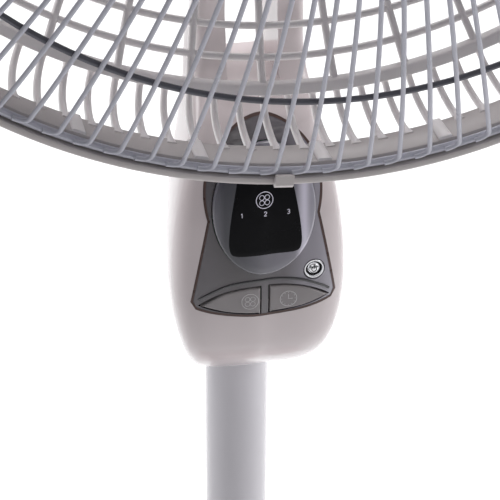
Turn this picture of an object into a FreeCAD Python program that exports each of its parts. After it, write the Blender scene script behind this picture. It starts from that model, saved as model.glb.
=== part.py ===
import FreeCAD, Part
import math
import os
import Sketcher

from FreeCAD import Placement, Rotation, Vector

# Pedestal fan, millimetres. The origin is the centre of the base's underside, +Z is up and the
# fan blows towards -Y. The pole stands on the Z axis and the head is shown level, facing ahead.

doc = FreeCAD.newDocument("PedestalFan")
sheet = doc.addObject("Spreadsheet::Sheet", "Sizes")
nodes = {}

SIZES = [
    # heights and reaches
    ("hub_height", 1000), ("guard_reach", 157), ("pivot_reach", 18), ("pivot_drop", 100),
    ("running_gap", 0.05), ("loose_gap", 0.3), ("panel_gap", 0.4),
    # base and stand
    ("base_radius", 195), ("base_edge", 20), ("base_crown", 44), ("base_wall", 2.5),
    ("foot_height", 4), ("foot_radius", 11), ("foot_count", 5), ("foot_circle", 172),
    ("weight_radius", 150), ("weight_height", 7), ("plate_thickness", 2),
    ("outer_tube_radius", 17.2), ("tube_wall", 1.2), ("outer_tube_height", 440),
    ("socket_height", 62), ("socket_wall", 3), ("flange_radius", 34),
    ("inner_tube_radius", 14.7), ("inner_tube_length", 500), ("tube_in_column", 84),
    ("collar_height", 46), ("collar_radius", 25), ("bush_length", 40),
    ("lock_knob_radius", 15), ("lock_knob_width", 20), ("stud_radius", 4),
    # column
    ("column_drop", 378), ("column_wall", 2.4), ("slot_width", 22), ("slot_drop", 231),
    ("neck_half", 22.5), ("arm_round", 12), ("socket_grip", 3.4),
    # controls
    ("button_travel", 1.2), ("board_thickness", 1.6), ("board_setback", 13),
    ("power_radius", 3.2), ("power_x", 21.5), ("power_drop", 308.8), ("lens_half", 22),
    ("lens_drop", 279), ("lens_rise", 29), ("lens_bulge", 2.2),
    # tilt and swing
    ("tilt_bolt_radius", 4), ("knuckle_radius", 12.5), ("knuckle_top", 17),
    ("swivel_pin_radius", 5), ("swivel_pin_length", 26), ("swivel_gap", 4),
    ("anchor_offset", 20), ("anchor_pin_radius", 2), ("link_thickness", 3), ("link_half", 4),
    ("crank_radius", 12.5), ("crank_disc_radius", 16),
    # motor and gearbox
    ("motor_front", 77), ("shaft_radius", 4), ("bracket_radius", 52), ("stator_radius", 44),
    ("rotor_radius", 25), ("air_gap", 0.5), ("stator_start", 55), ("stator_length", 30),
    ("nose_radius", 16), ("nose_length", 15), ("cover_radius", 66), ("cover_wall", 2.2),
    ("cover_back", 58), ("bush_radius", 9), ("worm_radius", 5), ("wheel_radius", 12),
    ("wheel_teeth", 30), ("gear_y", 16), ("gearbox_wall", 2.5), ("knob_travel", 8),
    ("knob_radius", 9), ("knob_stem", 3),
    # guards and blade
    ("rim_radius", 219), ("rim_wall", 4.4), ("rim_depth", 17), ("wire_ring_radius", 213.4),
    ("wire_radius", 0.9), ("ring_wire_radius", 1.4), ("wire_count", 120), ("wire_swirl", 7.6),
    ("front_depth", 58), ("wire_bend", 3), ("inner_ring_radius", 179.8), ("badge_radius", 46),
    ("rib_count", 46), ("rib_width", 2.4), ("rib_depth", 4), ("shoulder_radius", 200),
    ("shoulder_depth", 42), ("grille_depth", 77), ("grille_curve", 4.5), ("hub_plate_radius", 60),
    ("blade_radius", 190), ("blade_thickness", 2), ("blade_hub_radius", 30), ("blade_turn", 5),
    ("clip_count", 6), ("clip_width", 6.6), ("clip_turn", 4.2),
]

for row, (alias, value) in enumerate(SIZES, start=1):
    sheet.set("A%d" % row, alias)
    sheet.set("B%d" % row, str(value))
    sheet.setAlias("B%d" % row, alias)
doc.recompute()


def size(alias):
    """The number held by one cell of the sheet."""
    return float(sheet.get(alias))


def bound(text):
    """A plain formula of aliases, written as the sheet's own expression."""
    words = []
    for word in text.replace("(", " ( ").replace(")", " ) ").split():
        words.append("Sizes." + word if word in ALIASES else word)
    return " ".join(words)


ALIASES = {alias for alias, value in SIZES}
AXIS_TURN = {"Z": Rotation(), "X": Rotation(Vector(0, 1, 0), 90), "Y": Rotation(Vector(1, 0, 0), -90)}


def place(obj, at, turn=None):
    """Bind an object's place to the sheet."""
    obj.Placement = Placement(Vector(0, 0, 0), turn or Rotation())
    for axis, text in zip("xyz", at):
        obj.setExpression("Placement.Base." + axis, bound(text))
    return obj


def rod(name, radius, length, at, axis="Z"):
    """A round bar that starts at one point and runs along an axis."""
    obj = doc.addObject("Part::Cylinder", name)
    obj.setExpression("Radius", bound(radius))
    obj.setExpression("Height", bound(length))
    return place(obj, at, AXIS_TURN[axis])


def block(name, sides, at):
    """A box from its lowest corner."""
    obj = doc.addObject("Part::Box", name)
    for prop, text in zip(("Length", "Width", "Height"), sides):
        obj.setExpression(prop, bound(text))
    return place(obj, at)


def join(name, parts):
    obj = doc.addObject("Part::MultiFuse", name)
    obj.Shapes = parts
    return obj


def cut(name, base, tool):
    obj = doc.addObject("Part::Cut", name)
    obj.Base = base
    obj.Tool = tool
    return obj


def made(name, shape, at=None):
    """A shape worked out from the sheet with Part's own functions."""
    obj = doc.addObject("Part::Feature", name)
    obj.Shape = shape
    if at is not None:
        obj.Placement = Placement(at, Rotation())
    return obj


def keep(label, obj):
    """Name a finished sub-part."""
    obj.Label = label
    nodes[label] = obj
    return obj


def origin_plane(body, role):
    return next(plane for plane in body.Origin.OriginFeatures if plane.Role == role)


def outline(body, name, role, points):
    """A closed sketch of straight sides whose corners are bound to the sheet."""
    sketch = body.newObject("Sketcher::SketchObject", name)
    sketch.AttachmentSupport = [(origin_plane(body, role), "")]
    sketch.MapMode = "FlatFace"
    values = []
    for across, up in points:
        values.append(Vector(sketch.evalExpression(bound(across)), sketch.evalExpression(bound(up)), 0))
    count = len(values)
    for index in range(count):
        sketch.addGeometry(Part.LineSegment(values[index], values[(index + 1) % count]), False)
    for index in range(count):
        following = (index + 1) % count
        sketch.addConstraint(Sketcher.Constraint("Coincident", index, 2, following, 1))
    for index, (across, up) in enumerate(points):
        for kind, text, value in (("DistanceX", across, values[index].x), ("DistanceY", up, values[index].y)):
            key = "%s%d" % (kind[-1].lower() + "_", index)
            number = sketch.addConstraint(Sketcher.Constraint(kind, -1, 1, index, 1, value))
            sketch.renameConstraint(number, key)
            sketch.setExpression("Constraints." + key, bound(text))
    return sketch


def turned(name, points, at, axis="Z"):
    """A turned piece: pairs of radius and height, spun about the Z or Y axis."""
    body = doc.addObject("PartDesign::Body", name)
    role = {"Z": "XZ_Plane", "Y": "XY_Plane"}[axis]
    sketch = outline(body, name + "_profile", role, points)
    spin = body.newObject("PartDesign::Revolution", name + "_turn")
    spin.Profile = sketch
    spin.ReferenceAxis = (sketch, ["V_Axis"])
    spin.Angle = 360
    return place(body, at)


def circle_of(name, count, maker):
    """Copies round a circle, each made from its own angle in degrees."""
    return [maker("%s_%d" % (name, index), 360.0 * index / count) for index in range(int(count))]


def polar(radius, degrees, phase=0.0):
    """Expressions for a point on a circle in the floor plane."""
    angle = math.radians(degrees + phase)
    return ("( %s ) * %.6f" % (radius, math.cos(angle)), "( %s ) * %.6f" % (radius, math.sin(angle)))


HUB = "hub_height"
ZERO = ("0", "0", "0")

# ------------------------------------------------------------------------------------- the stand


def base_cover():
    shell = turned("BaseCover", [
        ("outer_tube_radius + 4", "base_crown - base_wall"),
        ("weight_radius * 0.55", "base_crown - base_wall - 4"),
        ("weight_radius + 6", "base_edge + 8 - base_wall"),
        ("base_radius - base_wall", "base_edge - base_wall"),
        ("base_radius - base_wall", "foot_height + plate_thickness"),
        ("base_radius", "foot_height + 1"),
        ("base_radius", "base_edge - 6"),
        ("base_radius - 2", "base_edge - 2"),
        ("base_radius - 7", "base_edge"),
        ("weight_radius + 6", "base_edge + 8"),
        ("weight_radius * 0.55", "base_crown - 4"),
        ("outer_tube_radius + 4", "base_crown"),
    ], ZERO)
    hole = rod("CordHole", "5.2", "14", ("0", "base_radius - 10", "foot_height + 8"), "Y")
    keep("base_cover", cut("BaseCoverDrilled", shell, hole))
    gland = turned("CordGland", [
        ("3.4", "0"), ("5", "0"), ("5", "6"), ("7.5", "6"), ("7.5", "8"), ("5", "8"), ("4.2", "13"),
        ("3.4", "13"),
    ], ("0", "base_radius - 6 + running_gap", "foot_height + 8"), "Y")
    keep("cord_gland", gland)


def base_bottom():
    floor_z = "foot_height"
    plate = turned("BottomPlate", [
        ("0", floor_z), ("base_radius - base_wall - loose_gap", floor_z),
        ("base_radius - base_wall - loose_gap", "foot_height + plate_thickness"),
        ("0", "foot_height + plate_thickness"),
    ], ZERO)
    keep("base_bottom_plate", plate)
    weight = turned("BaseWeight", [
        ("flange_radius + 2", "foot_height + plate_thickness"),
        ("weight_radius", "foot_height + plate_thickness"),
        ("weight_radius", "foot_height + plate_thickness + weight_height * 0.6"),
        ("weight_radius * 0.75", "foot_height + plate_thickness + weight_height"),
        ("flange_radius + 2", "foot_height + plate_thickness + weight_height"),
    ], ZERO)
    keep("base_weight", weight)
    feet = circle_of("Foot", size("foot_count"), lambda name, angle: rod(
        name, "foot_radius", "foot_height", polar("foot_circle", angle, 90) + ("0",)))
    keep("rubber_feet", join("RubberFeet", feet))


def pole_socket():
    bottom = "foot_height + plate_thickness"
    outside = "outer_tube_radius + socket_wall"
    socket = turned("PoleSocket", [
        ("outer_tube_radius + running_gap", bottom), ("flange_radius", bottom),
        ("flange_radius", "foot_height + plate_thickness + 5"),
        (outside, "foot_height + plate_thickness + 5"), (outside, "base_crown + socket_height - 8"),
        ("outer_tube_radius + 1.5", "base_crown + socket_height"),
        ("outer_tube_radius + running_gap", "base_crown + socket_height"),
    ], ZERO)
    trumpet = turned("SocketShroud", [
        ("outer_tube_radius + socket_wall + loose_gap", "base_crown + 0.2"),
        ("outer_tube_radius + 22", "base_crown + 0.2"),
        ("outer_tube_radius + 13", "base_crown + 8"),
        ("outer_tube_radius + 8", "base_crown + 24"),
        ("outer_tube_radius + 6", "base_crown + socket_height - 10"),
        ("outer_tube_radius + socket_wall + loose_gap", "base_crown + socket_height - 10"),
    ], ZERO)
    keep("socket_shroud", trumpet)
    keep("pole_socket", socket)
    screws = circle_of("BaseScrew", 4, lambda name, angle: rod(
        name, "5", "foot_height - 1.5", polar("flange_radius - 8", angle, 45) + ("1.5",)))
    keep("base_screws", join("BaseScrews", screws))


def outer_tube():
    bottom = "foot_height + plate_thickness"
    tube = turned("OuterTube", [
        ("outer_tube_radius - tube_wall", bottom), ("outer_tube_radius", bottom),
        ("outer_tube_radius", "outer_tube_height"),
        ("outer_tube_radius - tube_wall", "outer_tube_height"),
    ], ZERO)
    keep("outer_tube", tube)
    bush_in = "inner_tube_radius + running_gap"
    bush = turned("CollarBush", [
        (bush_in, "outer_tube_height - bush_length"),
        ("outer_tube_radius - tube_wall - 0.02", "outer_tube_height - bush_length"),
        ("outer_tube_radius - tube_wall - 0.02", "outer_tube_height"),
        ("outer_tube_radius", "outer_tube_height"), ("outer_tube_radius", "outer_tube_height + 3"),
        (bush_in, "outer_tube_height + 3"),
    ], ZERO)
    keep("collar_bush", bush)


def height_collar():
    low = "outer_tube_height - collar_height + 12"
    top = "outer_tube_height + 12"
    bore = "outer_tube_radius + 0.02"
    ring = turned("CollarRing", [
        (bore, low), ("collar_radius - 3", low), ("collar_radius", "outer_tube_height - collar_height + 16"),
        ("collar_radius", "outer_tube_height + 4"), ("inner_tube_radius + 3.5", top),
        ("inner_tube_radius + loose_gap", top), ("inner_tube_radius + loose_gap", "outer_tube_height + 3"),
        (bore, "outer_tube_height + 3"),
    ], ZERO)
    knob_z = "outer_tube_height - 14"
    boss = rod("CollarBoss", "9", "collar_radius + 8", ("0", "0", knob_z), "X")
    boss_clear = rod("BossClear", "outer_tube_radius + 0.02", "collar_height",
                     ("0", "0", low))
    stud_hole = rod("StudHole", "stud_radius + running_gap", "collar_radius + 30", ("0", "0", knob_z), "X")
    solid = join("CollarBody", [ring, cut("CollarBossHollow", boss, boss_clear)])
    keep("height_collar", cut("HeightCollar", solid, stud_hole))
    stud = rod("LockStud", "stud_radius", "collar_radius + 14 - outer_tube_radius",
               ("outer_tube_radius + loose_gap", "0", knob_z), "X")
    grip = rod("LockGrip", "lock_knob_radius - 2", "lock_knob_width",
               ("collar_radius + 8 + loose_gap", "0", knob_z), "X")
    lobes = []
    for index in range(8):
        across, up = polar("(lock_knob_radius - 3)", 45 * index)
        lobes.append(rod("LockLobe%d" % index, "3", "lock_knob_width - 3",
                         ("collar_radius + 9.5", across, "outer_tube_height - 14 + " + up), "X"))
    keep("height_lock_knob", join("LockKnob", [stud, grip] + lobes))


# --------------------------------------------------------------------------- the column that rises

# Each level of the column: drop below the hub, half width, front reach, back reach, squareness.
COLUMN_LEVELS = [
    (378.0, 17.4, 17.6, 18.0, 0.0),
    (369.0, 24.4, 33.8, 19.4, 0.0),
    (353.0, 31.8, 53.2, 20.0, 0.0),
    (343.0, 34.6, 58.0, 20.0, 0.0),
    (332.0, 36.8, 60.0, 20.0, 0.0),
    (318.0, 38.0, 60.5, 20.0, 0.0),
    (300.0, 37.4, 59.4, 19.8, 0.1),
    (280.0, 34.8, 57.5, 18.6, 0.25),
    (262.0, 31.0, 55.2, 16.2, 0.4),
    (249.0, 28.0, 52.0, 13.5, 0.55),
    (241.0, 26.2, 46.5, 11.0, 0.7),
    (235.0, 25.0, 39.0, 9.0, 0.85),
    (228.0, 24.0, 33.6, 7.5, 1.0),
    (216.0, 23.0, 31.4, 5.5, 1.0),
    (190.0, 22.5, 31.0, 2.5, 1.0),
    (150.0, 22.5, 30.8, -2.5, 1.0),
    (118.0, 22.5, 30.6, -5.0, 1.0),
    (86.0, 22.5, 30.5, -5.6, 1.0),
]

# A section's half outline as shares of the half width and of the depth from front to back:
# first for the rounded pod, then for the squarer neck.
POD_SECTION = [(0.0, 0.0), (0.42, 0.004), (0.72, 0.02), (0.9, 0.064), (0.982, 0.14), (1.0, 0.24),
               (0.955, 0.44), (0.82, 0.7), (0.5, 0.92), (0.0, 1.0)]
NECK_SECTION = [(0.0, 0.0), (0.42, 0.004), (0.74, 0.018), (0.93, 0.06), (0.995, 0.16), (1.0, 0.32),
                (0.998, 0.56), (0.97, 0.82), (0.7, 0.975), (0.0, 1.0)]


def column_section(level, inset):
    """One closed, smooth section of the column, moved inwards by the inset."""
    drop, half, front, back, square = level
    half = half - inset
    front = front - inset
    back = back - inset
    points = []
    for pod, neck in zip(POD_SECTION, NECK_SECTION):
        share_x = pod[0] + (neck[0] - pod[0]) * square
        share_y = pod[1] + (neck[1] - pod[1]) * square
        points.append((share_x * half, -front + share_y * (front + back)))
    left = [(-across, ahead) for across, ahead in reversed(points[1:-1])]
    height = size("hub_height") - drop
    ring = Part.BSplineCurve()
    ring.interpolate(Points=[Vector(x, y, height) for x, y in points + left], PeriodicFlag=True)
    return Part.Wire([ring.toShape()])


def column_solid(inset, levels):
    """The column as one smooth solid through its levels."""
    return Part.makeLoft([column_section(level, inset) for level in levels], True, False)


def drop_box(x_half, y_front, y_back, drop_low, drop_high):
    """A box given by its half width, its reach in Y and two drops below the hub."""
    hub = size("hub_height")
    corner = Vector(-x_half, y_front, hub - drop_low)
    return Part.makeBox(2 * x_half, y_back - y_front, drop_low - drop_high, corner)


def front_region():
    """Everything ahead of the joint line between the two column shells."""
    hub = size("hub_height")
    line = [(-80, 400), (-24, 400), (-24, 376), (-38, 355), (-46, 335), (-46, 268), (-30, 238), (-14, 224),
            (-14, 70), (-80, 70)]
    points = [Vector(-60, y, hub - drop) for y, drop in line]
    face = Part.Face(Part.makePolygon(points + points[:1]))
    return face.extrude(Vector(120, 0, 0))


def prism(points, y_front=-75.0, y_back=-38.0):
    """A front-view outline of corners (x, drop), pushed through the column's front."""
    hub = size("hub_height")
    corners = [Vector(x, y_front, hub - drop) for x, drop in points]
    face = Part.Face(Part.makePolygon(corners + corners[:1]))
    return face.extrude(Vector(0, y_back - y_front, 0))


def smooth_prism(edges, y_front=-75.0, y_back=-38.0):
    """A front-view outline of curves, each a list of (x, drop) points, pushed through."""
    hub = size("hub_height")
    shapes = []
    for points in edges:
        corners = [Vector(x, y_front, hub - drop) for x, drop in points]
        if len(corners) == 2:
            shapes.append(Part.makeLine(corners[0], corners[1]))
        else:
            curve = Part.BSplineCurve()
            curve.interpolate(Points=corners)
            shapes.append(curve.toShape())
    face = Part.Face(Part.Wire(shapes))
    return face.extrude(Vector(0, y_back - y_front, 0))


def mirrored(points):
    return [(-x, drop) for x, drop in reversed(points)]


def panel_outline(grow):
    """The control panel's outline: an arch, a waist, flared lower corners and a curved foot."""
    arch = [(23.6 + grow, 283.0), (24.9 + grow, 270.0), (21.5 + grow * 0.9, 256.0 - grow * 0.3),
            (12.5 + grow * 0.5, 245.0 - grow * 0.8), (0.0, 240.5 - grow)]
    flank = [(31.2 + grow, 320.0 + grow * 0.3), (27.2 + grow, 300.0), (23.6 + grow, 283.0)]
    foot = [(-29.4 - grow * 0.3, 323.2 + grow), (-15.0, 327.0 + grow), (0.0, 328.2 + grow),
            (15.0, 327.0 + grow), (29.4 + grow * 0.3, 323.2 + grow)]
    corner = [(29.4 + grow * 0.3, 323.2 + grow), (31.2 + grow, 320.0 + grow * 0.3)]
    top = arch + mirrored(arch)[1:]
    return [foot, corner, flank, top, mirrored(flank), mirrored(corner)]


def button_outline(side, grow):
    """A leaf-shaped push button: a tip outside, a straight side against the middle post."""
    inner = 1.9 - grow
    curve_top = [(inner, 314.2 - grow), (9.0, 314.6 - grow), (18.5, 316.6 - grow),
                 (28.0 + grow * 1.6, 321.6)]
    curve_foot = [(28.0 + grow * 1.6, 321.6), (17.0, 325.2 + grow), (9.0, 326.5 + grow),
                  (inner, 327.0 + grow)]
    side_line = [(inner, 327.0 + grow), (inner, 314.2 - grow)]
    edges = [curve_top, curve_foot, side_line]
    return [[(side * x, drop) for x, drop in edge] for edge in edges]


def lens_oval(grow):
    """The display lens's oval outline, pushed through the column's front."""
    centre = Vector(0, 0, size("hub_height") - size("lens_drop"))
    half = size("lens_half") + grow
    rise = size("lens_rise") + grow
    upright = Vector(0, 0, rise)
    oval = Part.Ellipse(centre + upright, centre + Vector(half, 0, 0), centre).toShape()
    oval.translate(Vector(0, -75, 0))
    return Part.Face(Part.Wire([oval])).extrude(Vector(0, 37, 0))


def column_shells():
    wall = size("column_wall")
    hub = size("hub_height")
    outer = column_solid(0.0, COLUMN_LEVELS)
    cavity_levels = [level for level in COLUMN_LEVELS if 240.0 < level[0] < 377.0]
    cavity = column_solid(wall, cavity_levels)
    pivot = Vector(-40, -size("pivot_reach"), hub - size("pivot_drop"))
    arm_tops = Part.makeCylinder(size("arm_round"), 80, pivot, Vector(1, 0, 0))
    below_pivot = drop_box(60, -80, 40, 400, size("pivot_drop"))
    limits = below_pivot.fuse(arm_tops)
    slot = drop_box(size("slot_width") / 2.0, -60, 40, size("slot_drop"), 70)
    bolt_hole = Part.makeCylinder(size("tilt_bolt_radius") + size("running_gap"), 80, pivot, Vector(1, 0, 0))
    tube_radius = size("inner_tube_radius") + size("loose_gap")
    tube_hole = Part.makeCylinder(tube_radius, 40, Vector(0, 0, hub - 400))
    shell = outer.common(limits).cut(slot).cut(cavity).cut(bolt_hole).cut(tube_hole)
    ahead = front_region()
    window = smooth_prism(panel_outline(size("panel_gap")))
    front = shell.common(ahead).cut(window)
    keep("column_front_shell", made("ColumnFront", front))
    keep("column_rear_shell", made("ColumnRear", shell.cut(ahead)))
    return outer


def skin(outer_inset, inner_inset):
    """A layer of the column between two insets, for pieces that lie flush in its face."""
    levels = [level for level in COLUMN_LEVELS if 225.0 < level[0] < 376.0]
    return column_solid(outer_inset, levels).cut(column_solid(inner_inset, levels))


def controls():
    hub = size("hub_height")
    gap = size("panel_gap")
    trim_width = 0.7
    layer = skin(0.1, 2.6)
    lens_hole = lens_oval(gap / 2.0)
    power_hub = hub - size("power_drop")
    power_at = Vector(size("power_x"), -75, power_hub)
    ring_hole = Part.makeCylinder(size("power_radius") + 1.6, 40, power_at, Vector(0, 1, 0))
    buttons_hole = [smooth_prism(button_outline(side, gap)) for side in (-1, 1)]
    panel = layer.common(smooth_prism(panel_outline(-trim_width - 0.05)))
    for hole in [lens_hole, ring_hole] + buttons_hole:
        panel = panel.cut(hole)
    panel = panel.Solids[0] if len(panel.Solids) == 1 else max(panel.Solids, key=lambda item: item.Volume)
    board_y = -size("board_setback") - 33.0
    posts = []
    for x, drop, reach in ((-17.5, 309.0, 58.3), (12.0, 309.0, 58.3), (-9.0, 248.5, 50.2), (9.0, 248.5, 50.2)):
        posts.append(Part.makeCylinder(1.8, reach + board_y, Vector(x, -reach, hub - drop), Vector(0, 1, 0)))
    panel = panel.multiFuse(posts)
    keep("control_panel", made("ControlPanel", panel))
    trim = skin(0.0, 1.6).common(smooth_prism(panel_outline(0.0 + gap - 0.05)))
    trim = trim.cut(smooth_prism(panel_outline(-trim_width)))
    keep("panel_trim", made("PanelTrim", trim))
    lens = skin(-size("lens_bulge"), 1.8).common(lens_oval(0.0))
    keep("display_lens", made("DisplayLens", lens))
    mask = drop_box(15.5, -50.6, -49.6, 300.5, 259)
    keep("display_mask", made("DisplayMask", mask))
    leds = []
    for column in (-10.0, 0.0, 10.0):
        for drop in (286.0, 293.0):
            leds.append(Part.makeBox(3, 3.2, 2, Vector(column - 1.5, board_y - 3.2, hub - drop)))
    keep("indicator_leds", made("IndicatorLeds", Part.makeCompound(leds)))
    board = drop_box(24.0, board_y, board_y + size("board_thickness"), 329, 246.5)
    narrow = prism([(-24, 329), (24, 329), (24, 300), (16, 275), (13, 243), (-13, 243), (-16, 275), (-24, 300)],
                   -60, -30)
    keep("circuit_board", made("CircuitBoard", board.common(narrow)))
    switches = []
    travel = size("button_travel")
    centres = [(-11.0, 320.6), (11.0, 320.6), (size("power_x") - 1.5, size("power_drop"))]
    for x, drop in centres:
        case = Part.makeBox(5, 3.4, 5, Vector(x - 2.5, board_y - 3.4, hub - drop - 2.5))
        switches.append(case)
    keep("tact_switches", made("TactSwitches", Part.makeCompound(switches)))
    stem_end = board_y - 3.4 - travel - 0.2
    names = ("speed_button", "timer_button")
    for side, label, (x, drop) in zip((-1, 1), names, centres):
        cap = skin(-0.3, 2.4).common(smooth_prism(button_outline(side, 0.0)))
        stem = Part.makeCylinder(1.6, 58.8 + stem_end, Vector(x, -58.8, hub - drop), Vector(0, 1, 0))
        keep(label, made(label.title().replace("_", ""), cap.fuse(stem)))
    ring_front = -59.3
    ring = Part.makeCylinder(size("power_radius") + 1.5, 4.2, Vector(power_at.x, ring_front, power_hub),
                             Vector(0, 1, 0))
    ring = ring.cut(Part.makeCylinder(size("power_radius") + 0.15, 12, Vector(power_at.x, -62, power_hub),
                                      Vector(0, 1, 0)))
    keep("power_button_ring", made("PowerRing", ring))
    cap_front = ring_front + 0.3
    cap = Part.makeCylinder(size("power_radius"), stem_end - cap_front, Vector(power_at.x, cap_front, power_hub),
                            Vector(0, 1, 0))
    keep("power_button", made("PowerButton", cap))


def inner_tube():
    top = "hub_height - column_drop + tube_in_column"
    bottom = "hub_height - column_drop + tube_in_column - inner_tube_length"
    tube = turned("InnerTube", [
        ("inner_tube_radius - tube_wall", bottom), ("inner_tube_radius", bottom),
        ("inner_tube_radius", top), ("inner_tube_radius - tube_wall", top),
    ], ZERO)
    keep("inner_tube", tube)
    low = "hub_height - column_drop + 9.3"
    sleeve = turned("TubeSleeve", [
        ("inner_tube_radius + 0.02", low), ("inner_tube_radius + 1.9", low),
        ("inner_tube_radius + 1.9", "hub_height - column_drop + tube_in_column + 2"),
        ("4", "hub_height - column_drop + tube_in_column + 2"),
        ("4", "hub_height - column_drop + tube_in_column"),
        ("inner_tube_radius + 0.02", "hub_height - column_drop + tube_in_column"),
    ], ZERO)
    keep("tube_sleeve", sleeve)


# ------------------------------------------------------------------------------- tilt and swivel


def knuckle():
    half = "slot_width / 2 - loose_gap"
    pivot_z = "hub_height - pivot_drop"
    barrel = rod("KnuckleBarrel", "knuckle_radius", "slot_width - 2 * loose_gap",
                 ("0 - ( " + half + " )", "0 - pivot_reach", pivot_z), "X")
    web = block("KnuckleWeb", ("slot_width - 2 * loose_gap", "25", "knuckle_top - 4"),
                ("0 - ( " + half + " )", "0 - pivot_reach - 12.5", pivot_z))
    table = block("KnuckleTable", ("slot_width / 2 + anchor_offset + 6", "25", "4"),
                  ("0 - slot_width / 2", "0 - pivot_reach - 12.5", "hub_height - pivot_drop + knuckle_top - 4"))
    solid = join("KnuckleSolid", [barrel, web, table])
    bolt = rod("KnuckleBore", "tilt_bolt_radius + running_gap", "60", ("0 - 30", "0 - pivot_reach", pivot_z), "X")
    pin = rod("PinBore", "swivel_pin_radius + 0.02", "40",
              ("0", "0 - pivot_reach", "hub_height - pivot_drop + tilt_bolt_radius + 2"))
    peg = rod("PegBore", "anchor_pin_radius + 0.02", "20",
              ("anchor_offset", "0 - pivot_reach", "hub_height - pivot_drop + knuckle_top - 10"))
    keep("tilt_knuckle", cut("TiltKnuckle", solid, join("KnuckleBores", [bolt, pin, peg])))
    keep("swivel_pin", rod("SwivelPin", "swivel_pin_radius", "swivel_pin_length + knuckle_top - 6",
                           ("0", "0 - pivot_reach", "hub_height - pivot_drop + tilt_bolt_radius + 2")))
    washer = turned("SwivelWasher", [
        ("swivel_pin_radius + loose_gap", "0"), ("9.5", "0"), ("9.5", "swivel_gap - 0.2"),
        ("swivel_pin_radius + loose_gap", "swivel_gap - 0.2"),
    ], ("0", "0 - pivot_reach", "hub_height - pivot_drop + knuckle_top"))
    keep("swivel_washer", washer)
    peg_pin = rod("AnchorPin", "anchor_pin_radius", "4 + swivel_gap",
                  ("anchor_offset", "0 - pivot_reach", "hub_height - pivot_drop + knuckle_top - 4"))
    keep("link_anchor_pin", peg_pin)


def tilt_hardware():
    pivot_z = "hub_height - pivot_drop"
    spot = ("0 - neck_half - 6 - 4 * loose_gap", "0 - pivot_reach", pivot_z)
    head = rod("TiltBoltHead", "8", "6", spot, "X")
    stem = rod("TiltBoltStem", "tilt_bolt_radius", "2 * neck_half + 14 + 7 * loose_gap", spot, "X")
    keep("tilt_bolt", join("TiltBolt", [head, stem]))
    nut = cut("TiltNutDrilled", rod("TiltNutBlank", "8", "6", ("neck_half + 4 * loose_gap", "0 - pivot_reach", pivot_z), "X"),
              rod("TiltNutBore", "tilt_bolt_radius + 0.02", "30", ("neck_half - 10", "0 - pivot_reach", pivot_z), "X"))
    keep("tilt_nut", nut)


def swing_drive():
    """The link and the crank, with the link's far pivot left open by a small gap."""
    hub = size("hub_height")
    low = hub - size("pivot_drop") + size("knuckle_top") + 0.4
    half = size("link_half")
    thick = size("link_thickness")
    start = Vector(size("anchor_offset"), -size("pivot_reach"), low)
    wheel_x = size("worm_radius") + size("wheel_radius") + 0.2
    end = Vector(wheel_x + size("crank_radius"), size("gear_y"), low)
    run = end - start
    side = Vector(-run.y, run.x, 0).normalize() * half
    corners = [start + side, start - side, end - side, end + side]
    bar = Part.Face(Part.makePolygon(corners + corners[:1])).extrude(Vector(0, 0, thick))
    for eye in (start, end):
        bar = bar.fuse(Part.makeCylinder(half + 1, thick, eye))
    for eye, radius in ((start, size("anchor_pin_radius")), (end, 2.0)):
        bar = bar.cut(Part.makeCylinder(radius + size("running_gap"), thick * 3, eye - Vector(0, 0, thick)))
    keep("link_rod", made("LinkRod", bar.removeSplitter()))
    disc_low = "hub_height - pivot_drop + knuckle_top + swivel_gap + 4"
    gear_x = "worm_radius + wheel_radius + 0.2"
    disc = rod("CrankDiscPlate", "crank_disc_radius", "4", (gear_x, "gear_y", disc_low))
    bore = rod("CrankDiscBore", "3.02", "12", (gear_x, "gear_y", "hub_height - pivot_drop + knuckle_top"))
    pin = rod("CrankPin", "2", "4 + swivel_gap - 0.2 - link_thickness + 0.2",
              ("worm_radius + wheel_radius + 0.2 + crank_radius", "gear_y",
               "hub_height - pivot_drop + knuckle_top + link_thickness + 0.8"))
    keep("crank_disc", join("CrankDisc", [cut("CrankDiscDrilled", disc, bore), pin]))
    wheel_shape = toothed_wheel(size("wheel_radius"), int(size("wheel_teeth")), 8.0)
    stem_low = low + 8.2
    stem = Part.makeCylinder(3.0, hub + 4.0 - stem_low, Vector(0, 0, stem_low - hub))
    wheel = wheel_shape.fuse(stem)
    keep("worm_wheel", made("WormWheel", wheel, Vector(wheel_x, size("gear_y"), hub)))


def toothed_wheel(radius, teeth, width):
    """A worm wheel: straight shallow teeth on a disc centred on its own axis."""
    points = []
    for index in range(teeth):
        for share, reach in ((0.0, 0.0), (0.2, 1.0), (0.5, 1.0), (0.7, 0.0)):
            angle = 2 * math.pi * (index + share) / teeth
            distance = radius - 1.2 + 1.2 * reach
            points.append(Vector(distance * math.cos(angle), distance * math.sin(angle), -width / 2))
    return Part.Face(Part.makePolygon(points + points[:1])).extrude(Vector(0, 0, width))


# ---------------------------------------------------------------------------- motor and gearbox


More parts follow.
